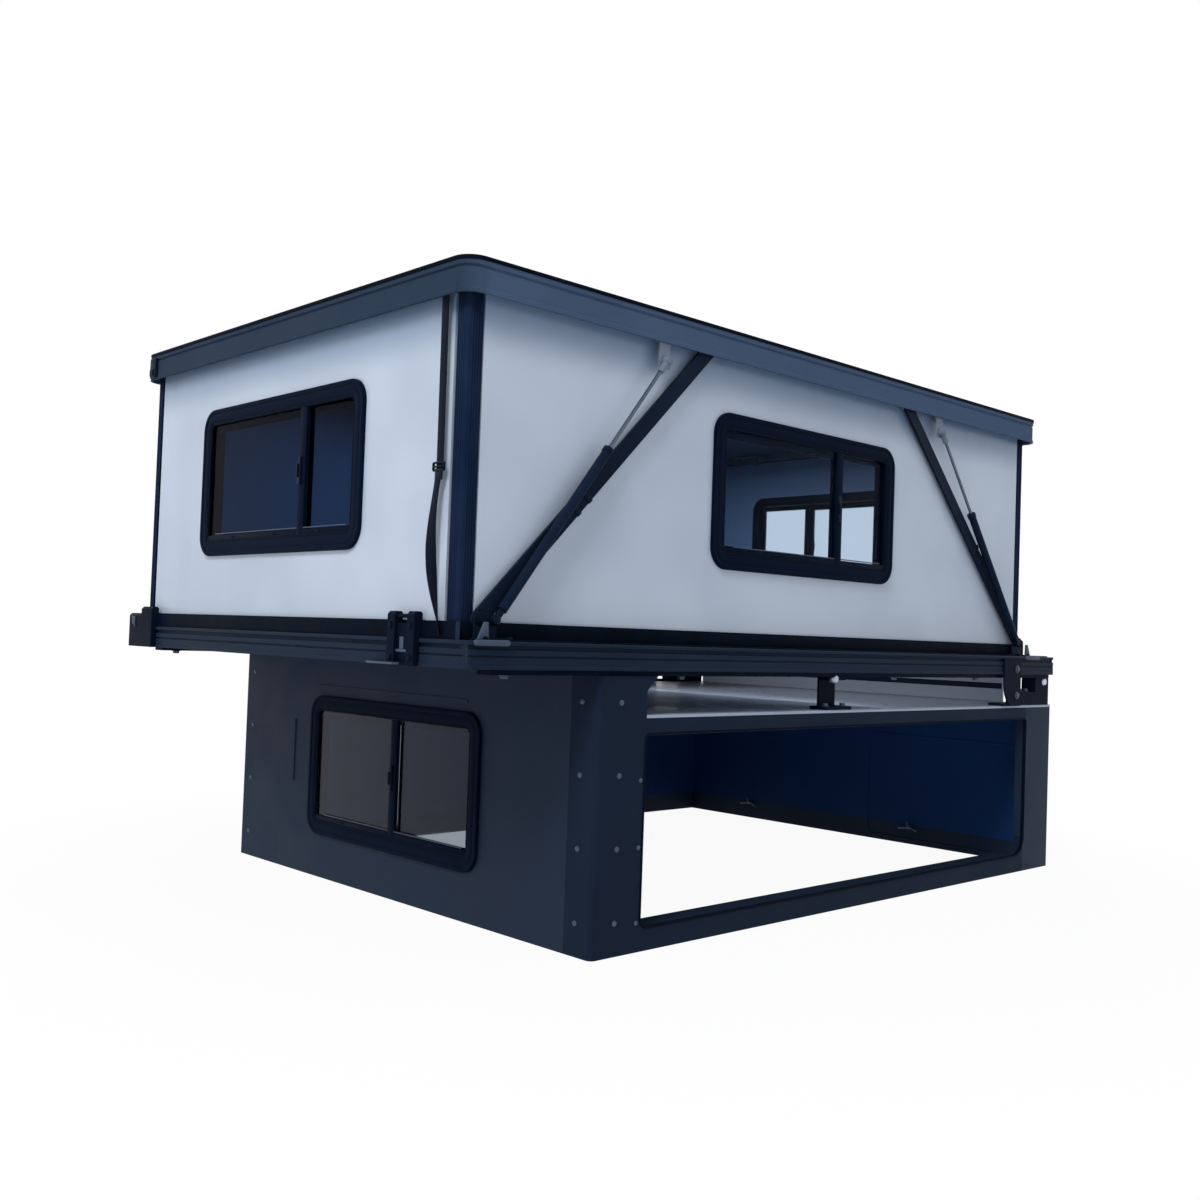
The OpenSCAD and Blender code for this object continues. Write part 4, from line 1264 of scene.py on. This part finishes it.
@dataclass
class Roof(SubAssembly):
    """The flat lid: a dark trim bead along its top edge, pressed swages and a drip strip."""

    radius: float = 0.04
    bead: float = 0.008
    bead_out: float = 0.002
    bead_down: float = 0.0008
    drip: float = 0.004
    drip_out: float = 0.001
    clip_in: float = 0.052
    clip_size: Place = (0.01, 0.034, 0.052)
    clip_level: float = 0.028
    clip_tab: Place = (0.006, 0.02, 0.018)
    swage_short: float = 0.24
    swage_width: float = 0.05
    swage_rows: tuple[float, ...] = (-0.42, -0.21, 0.0, 0.21, 0.42)

    def build(self) -> None:
        """Makes the edge bead, the drip strip, the corner clip and the swages on top."""
        low, high = (Vector(c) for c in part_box("roof_rim"))
        middle = (low + high) / 2
        size = high - low
        out = self.bead_out
        bead = ring([side + 2 * out for side in size.xy], self.radius + out, self.bead, self.bead, 0.0015)
        moved(bead, at(middle.x, middle.y, high.z - self.bead - self.bead_down))
        self.piece("roof_edge_bead", bead, BEAD_RUBBER, "seal")
        thick, wide, tall = self.clip_size
        level = low.z + self.clip_level
        clip = blocks(
            ((thick, wide, tall), (low.x - 0.001, high.y - self.clip_in, level), 0.003),
            ((wide, thick, tall), (low.x + self.clip_in, high.y + 0.001, level), 0.003),
            (self.clip_tab, (low.x - 0.006, high.y - 0.05, low.z + 0.016), 0.002))
        self.piece("roof_far_corner_clip", clip, BUCKLE_NYLON, "buckle")
        out = self.drip_out
        drip = ring([side + 2 * out for side in size.xy], self.radius + out, self.drip, self.drip, 0.0012)
        moved(drip, at(middle.x, middle.y, low.z - 0.001))
        self.piece("roof_drip_strip", drip, ROOF_COAT, "roof")
        swage = plate((size.x - self.swage_short, self.swage_width), 0.02, 0.002, 0.0008)
        swages = repeat(swage, [at(middle.x, y, high.z - 0.0022) for y in self.swage_rows])
        self.piece("roof_pressed_swages", swages, ROOF_COAT, "roof")


@dataclass
class LiftGear(SubAssembly):
    """Scissor arms and gas struts: bolt heads, foot pads, ball-socket caps and clips."""

    pivot: Span = (-1.034, 0.655)
    strut_foot: Span = (-1.006, 0.655)
    strut_top: Span = (-0.573, 1.211)
    plate_out: float = 0.679
    strut_out: float = 0.692
    arm_out: float = 0.674
    arm_slope: float = math.pi / 4
    pivot_bolt: Span = (0.019, 0.007)
    foot_screw: Span = (0.006, 0.003)
    foot_screws: tuple[float, ...] = (0.014, 0.072)
    foot_line: float = -0.702
    foot_top: float = 0.005
    foot_middle: float = -1.038
    pad: Place = (0.082, 0.011, 0.006)
    pad_round: float = 0.0052
    pad_level: float = 0.6135
    pad_out: float = 0.7172
    gusset: Box = ((0.026, 0.006, 0.034), (-1.044, -0.7, 0.634), 0.001)
    gusset_taper: float = 0.3
    cap_profile: tuple[Span, ...] = (
        (0.0095, -0.012), (0.0102, -0.002), (0.008, 0.0015), (0.004, 0.0025), (0, 0.0027))
    neck: Span = (0.008, 0.034)
    neck_radius: float = 0.0072
    neck_back: float = 0.006
    clip: Place = (0.012, 0.036, 0.004)
    clips: tuple[float, ...] = (0.32, 0.36)

    def build(self) -> None:
        """Makes the pivot bolts, the foot screws, the foot pads, the strut caps and the clips."""
        low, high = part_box("tray_floor")
        middle = (low[0] + high[0]) / 2
        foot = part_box("arm_base_brackets")[0]
        screws = [at(foot[0] + along, self.foot_line, foot[2] + self.foot_top) for along in self.foot_screws]
        bolts = moved(hex_bolt(*self.pivot_bolt), Face.NEAR.place(*self.pivot, self.plate_out))
        join(bolts, repeat(rivet(*self.foot_screw), screws))
        self.piece("lift_pivot_bolts", four(bolts, middle), CURB_COAT, "alloy")
        *size, thick = self.pad
        pad = plate(size, self.pad_round, thick, 0.0016)
        moved(pad, Face.NEAR.place(self.foot_middle, self.pad_level, self.pad_out))
        gusset = blocks(self.gusset)
        centre = self.gusset[1]
        for point in gusset.verts:
            if point.co.z > centre[2]:
                point.co.x = self.foot_middle + (point.co.x - centre[0]) * self.gusset_taper
        self.piece("lift_arm_foot_pads", four(join(pad, gusset), middle), FOOT_COAT, "bracket")
        slope = math.atan2(self.strut_top[1] - self.strut_foot[1], self.strut_top[0] - self.strut_foot[0])
        for spot, (x, z), way, finish in (
                ("foot", self.strut_foot, 1, BUCKLE_NYLON), ("head", self.strut_top, -1, SOCKET_NYLON)):
            cap = moved(turned(self.cap_profile), Face.NEAR.place(x, z, self.strut_out))
            start, end = (
                (x + way * math.cos(slope) * along, self.neck_back - self.strut_out, z + way * math.sin(slope) * along)
                for along in self.neck)
            caps = join(cap, tube(start, end, self.neck_radius))
            self.piece(f"strut_{spot}_sockets", four(caps, middle), finish, "buckle")
        clip = moved(block(self.clip, 0.0014), Matrix.Rotation(self.arm_slope, 4, "Z"))
        clips = repeat(clip, [Face.NEAR.place(
            self.pivot[0] + along * math.cos(self.arm_slope), self.pivot[1] + along * math.sin(self.arm_slope),
            self.arm_out + 0.001) for along in self.clips])
        self.piece("lift_arm_clips", four(clips, middle), ARM_COAT, "arm")


@dataclass
class FrontLatch(SubAssembly):
    """The travel latch on the front rail, and the catch at the rail's far end."""

    middle: float = -0.521
    hook: Place = (0.004, 0.014, 0.024)
    hook_down: float = 0.06
    pin_in: float = 0.007
    pin_half: float = 0.022
    pin_down: float = 0.075
    pin_radius: float = 0.003
    web: Place = (0.004, 0.062, 0.076)
    foot: Place = (0.026, 0.088, 0.004)
    catch: Place = (0.004, 0.016, 0.02)
    catch_in: float = 0.04
    catch_down: float = 0.035
    screw: Span = (0.012, 0.0025)
    screw_out: float = 0.032
    screw_rows: tuple[float, ...] = (0.014, 0.075)

    def build(self) -> None:
        """Makes the hook, its back plate and foot, the far catch and the screws."""
        low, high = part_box("front_latch")
        face, top, middle = low[0], high[2], self.middle
        start, end = (
            (face + self.pin_in, middle + side * self.pin_half, top - self.pin_down) for side in (-1, 1))
        hook = join(
            blocks((self.hook, (face + 0.009, middle + 0.006, top - self.hook_down), 0.0014)),
            tube(start, end, self.pin_radius))
        self.piece("latch_hook", hook, FOOT_COAT, "alloy")
        web = blocks((self.web, (face + 0.0095, middle, low[2] + 0.042), 0.001))
        self.piece("latch_back_plate", web, CURB_COAT, "bracket")
        flange = blocks((self.foot, (face - 0.002, middle + 0.047, low[2] + 0.003), 0.0014))
        self.piece("latch_foot_flange", flange, FOOT_COAT, "bracket")
        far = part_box("tray_rail_far")[1][1]
        catch = join(
            blocks((self.catch, (face - SUNK, far - self.catch_in, top - self.catch_down), 0.0012)),
            tube((face - 0.001, far - 0.05, top - 0.052), (face - 0.001, far - 0.03, top - 0.024), 0.0022))
        self.piece("far_catch_pin", catch, DULL_STEEL, "alloy")
        screws = repeat(hex_bolt(*self.screw), [
            Face.FRONT.place(-(middle + side * self.screw_out), low[2] + row, -face - 0.0012)
            for side in (-1, 1) for row in self.screw_rows])
        self.piece("latch_screws", screws, CURB_COAT, "bracket")


@dataclass
class HoldDownStrap(SubAssembly):
    """A flat strap that falls from the roof to its buckle, then bows and twists down to the tray."""

    width: float = 0.02
    thickness: float = 0.0016
    top: float = -0.6
    buckle: float = 0.935
    bow: float = 0.017
    lean: float = 0.016
    belly: float = 0.007
    twist: float = math.radians(150)
    back_twist: float = math.radians(35)
    sections: int = 96
    buckle_rim: Section = (0.0035, 0.005, 0.0012)
    cross_bar: Span = (0.0035, 0.006)
    buckle_tongue: Box = ((0.022, 0.022, 0.003), (0, -0.014, 0.002), 0.0012)

    def build(self) -> None:
        """Makes the strap and its slide buckle."""
        low, high = (Vector(c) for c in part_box("strap"))
        strip = bmesh.new()
        strip.loops.layers.uv.new("strap")
        bmesh.ops.create_grid(strip, x_segments=2, y_segments=self.sections, size=0.5, calc_uvs=True)
        for point in strip.verts:
            across, along = point.co.x * self.width, 0.5 - point.co.y
            z = high.z + (low.z - high.z) * along
            slack = max(0.0, (self.buckle - z) / (self.buckle - low.z))
            swing = math.sin(math.pi * slack)
            turn = self.twist * (slack * slack * (3 - 2 * slack)) - self.back_twist * swing
            y = self.top - 0.002 * min(1.0, (high.z - z) / (high.z - self.buckle))
            y += self.bow * swing - self.lean * slack
            x = high.x - 0.0012 - self.belly * math.sin(math.pi * min(1.0, slack * 1.1)) * (slack > 0)
            point.co = (x + across * math.sin(turn), y - across * math.cos(turn), z)
        made = self.piece("hold_down_strap", strip, STRAP_WEAVE, "webbing")
        shell = made.modifiers.new("thickness", "SOLIDIFY")
        shell.thickness = self.thickness
        shell.offset = 0.0
        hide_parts("strap")
        low, high = (Vector(c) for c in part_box("strap_buckle"))
        middle, size = (low + high) / 2, high - low
        bars = join(
            ring((size.y, size.z), 0.004, *self.buckle_rim),
            blocks(((size.y - 0.004, *self.cross_bar), (0, 0, self.cross_bar[1] / 2), 0.0012), self.buckle_tongue))
        place = Face.FRONT.place(-middle.y, middle.z, -high.x)
        buckle = self.piece("strap_slide_buckle", moved(bars, place), BUCKLE_NYLON, "buckle")
        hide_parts("strap_buckle")


@dataclass(frozen=True)
class Lamp:
    """A soft oblong lamp: where it hangs, its two sides, its power in watts and what it points at."""

    name: str
    place: Place
    size: Span
    power: float
    target: Place

    def hang(self) -> None:
        """Adds the lamp, which lights the object but isn't seen itself, in gloss or through glass."""
        light = bpy.data.lights.new(self.name, "AREA")
        light.shape = "RECTANGLE"
        light.size, light.size_y = self.size
        light.energy = self.power
        lamp = bpy.data.objects.new(self.name, light)
        lamp.location = self.place
        lamp.rotation_euler = (Vector(self.target) - Vector(self.place)).to_track_quat("-Z", "Y").to_euler()
        lamp.visible_glossy = False
        lamp.visible_transmission = False
        lamp.visible_camera = False
        bpy.context.scene.collection.objects.link(lamp)


@dataclass
class Studio:
    """A pale floor that fades to white, plain soft lamps, and the camera at the photograph's view."""

    lamps: tuple[Lamp, ...] = (
        Lamp("key", (-7.6, -3.2, 8.4), (3.6, 3.6), 690.0, (0.0, 0.0, 0.7)),
        Lamp("fill", (1.0, -6.0, 3.4), (3.0, 3.0), 8.0, (0.0, 0.0, 0.7)),
        Lamp("deck_fill", (0.6, -0.2, 0.597), (0.96, 0.9), 0.9, (0.6, -0.2, 0.0)),
        Lamp("riser_fill", (0.2, -0.1, 0.555), (1.2, 0.06), 1.9, (1.086, -0.1, 0.95)),
        Lamp("cabin_fill", (-0.04, 0.0, 1.235), (1.5, 0.9), 6.0, (-0.04, 0.0, 0.0)))
    floor_radius: float = 40.0
    floor_fade: Span = (1.2, 2.2)
    floor_glow: float = 0.94
    eye: Place = (-2.4369, -2.4726, 0.6333)
    yaw: float = -43.478
    pitch: float = 1.649
    roll: float = 2.035
    view_angle: float = 51.51
    ambient: float = 0.42

    def build(self) -> None:
        """Makes the floor, the world, the lamps and the camera."""
        scene = bpy.context.scene
        scene.view_settings.view_transform = "Standard"
        self.floor()
        self.world()
        for lamp in self.lamps:
            lamp.hang()
        self.camera()

    def background_seen(self, tree: Tree) -> Socket:
        """Tells the rays that see the background from those that carry light.

        Args:
            tree: the node tree.

        Returns:
            1 for a ray from the camera, a reflection or a pane, and 0 for the others.
        """
        ray = add_node(tree, "LightPath")
        both = add_node(tree, "Math", {
            0: ray.outputs["Is Camera Ray"], 1: ray.outputs["Is Glossy Ray"]}, operation="ADD", use_clamp=True)
        return add_node(tree, "Math", {
            0: both.outputs[0], 1: ray.outputs["Is Transmission Ray"]}, operation="ADD", use_clamp=True).outputs[0]

    def floor(self) -> None:
        """Lays the floor; it keeps the object's shadow and turns white away from it."""
        disc = bmesh.new()
        bmesh.ops.create_circle(disc, cap_ends=True, segments=96, radius=self.floor_radius)
        mesh = bpy.data.meshes.new("studio_floor")
        disc.to_mesh(mesh)
        disc.free()
        floor = bpy.data.objects.new("studio_floor", mesh)
        floor.location = (0, 0, -0.0004)
        bpy.context.scene.collection.objects.link(floor)
        paint = bpy.data.materials.new("studio_floor_pale_paper")
        paint.use_nodes = True
        tree = paint.node_tree
        tree.nodes.clear()
        seen = self.background_seen(tree)
        colour = add_node(tree, "Mix", {
            0: seen, 6: srgb("#eceff3"), 7: srgb("#ffffff")}, data_type="RGBA").outputs[2]
        matt = add_node(tree, "BsdfDiffuse", {"Color": colour})
        glow = add_node(tree, "Emission", {"Color": srgb("#ffffff"), "Strength": 1.0})
        coords = add_node(tree, "TexCoord")
        reach = add_node(tree, "VectorMath", {0: coords.outputs["Object"]}, operation="LENGTH")
        fade = add_node(tree, "MapRange", {
            "Value": reach.outputs["Value"], "From Min": self.floor_fade[0], "From Max": self.floor_fade[1],
            "To Min": self.floor_glow}, interpolation_type="SMOOTHSTEP")
        share = add_node(tree, "Math", {0: fade.outputs[0], 1: seen}, operation="MULTIPLY")
        mixed = add_node(tree, "MixShader", {
            0: share.outputs[0], 1: matt.outputs[0], 2: glow.outputs[0]})
        add_node(tree, "OutputMaterial", {"Surface": mixed.outputs[0]})
        mesh.materials.append(paint)

    def world(self) -> None:
        """Lights the object evenly and shows white to the camera, to gloss and through glass."""
        world = bpy.data.worlds.new("studio")
        bpy.context.scene.world = world
        world.use_nodes = True
        tree = world.node_tree
        tree.nodes.clear()
        soft = add_node(tree, "Background", {"Color": srgb("#f2f6ff"), "Strength": self.ambient})
        white = add_node(tree, "Background", {"Color": srgb("#ffffff"), "Strength": 1.0})
        mixed = add_node(tree, "MixShader", {
            0: self.background_seen(tree), 1: soft.outputs[0], 2: white.outputs[0]})
        add_node(tree, "OutputWorld", {"Surface": mixed.outputs[0]})

    def camera(self) -> None:
        """Sets up the camera that was fitted to the photograph."""
        yaw, pitch, roll = (math.radians(a) for a in (self.yaw, self.pitch, self.roll))
        ahead = Vector((-math.sin(yaw), math.cos(yaw), 0))
        right = Vector((math.cos(yaw), math.sin(yaw), 0))
        up = Vector((0, 0, 1))
        look = math.cos(pitch) * ahead + math.sin(pitch) * up
        lift = -math.sin(pitch) * ahead + math.cos(pitch) * up
        side = math.cos(roll) * right + math.sin(roll) * lift
        top = -math.sin(roll) * right + math.cos(roll) * lift
        lens = bpy.data.cameras.new("photo_view")
        lens.sensor_fit = "HORIZONTAL"
        lens.angle = math.radians(self.view_angle)
        camera = bpy.data.objects.new("photo_view", lens)
        camera.matrix_world = Matrix.Translation(self.eye) @ Matrix((side, top, -look)).transposed().to_4x4()
        bpy.context.scene.collection.objects.link(camera)
        bpy.context.scene.camera = camera


def tent_windows() -> Iterable[SlidingWindow]:
    """Lists the windows: four in the tent and one in the canopy.

    Returns:
        The windows, in the order in which they are built.
    """
    for name, face in (("near", Face.NEAR), ("far", Face.FAR), ("front", Face.FRONT), ("rear", Face.REAR)):
        yield SlidingWindow(body=f"{name}_wall", name=name, node=f"window_frame_{name}", face=face)
    yield SlidingWindow(name="canopy", node="canopy_window_frame", face=Face.FRONT, stile=0.025)


def main() -> None:
    logging.basicConfig(level=logging.INFO, format="%(name)s: %(message)s")
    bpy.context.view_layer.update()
    dress_nodes()
    parts: list[SubAssembly | Studio] = [
        Canopy(), *tent_windows(), WallSeals(), Tray(), Roof(), LiftGear(), FrontLatch(), HoldDownStrap(), Studio()]
    for part in parts:
        log.info("building %s", type(part).__name__)
        part.build()


if __name__ == "__main__":
    main()
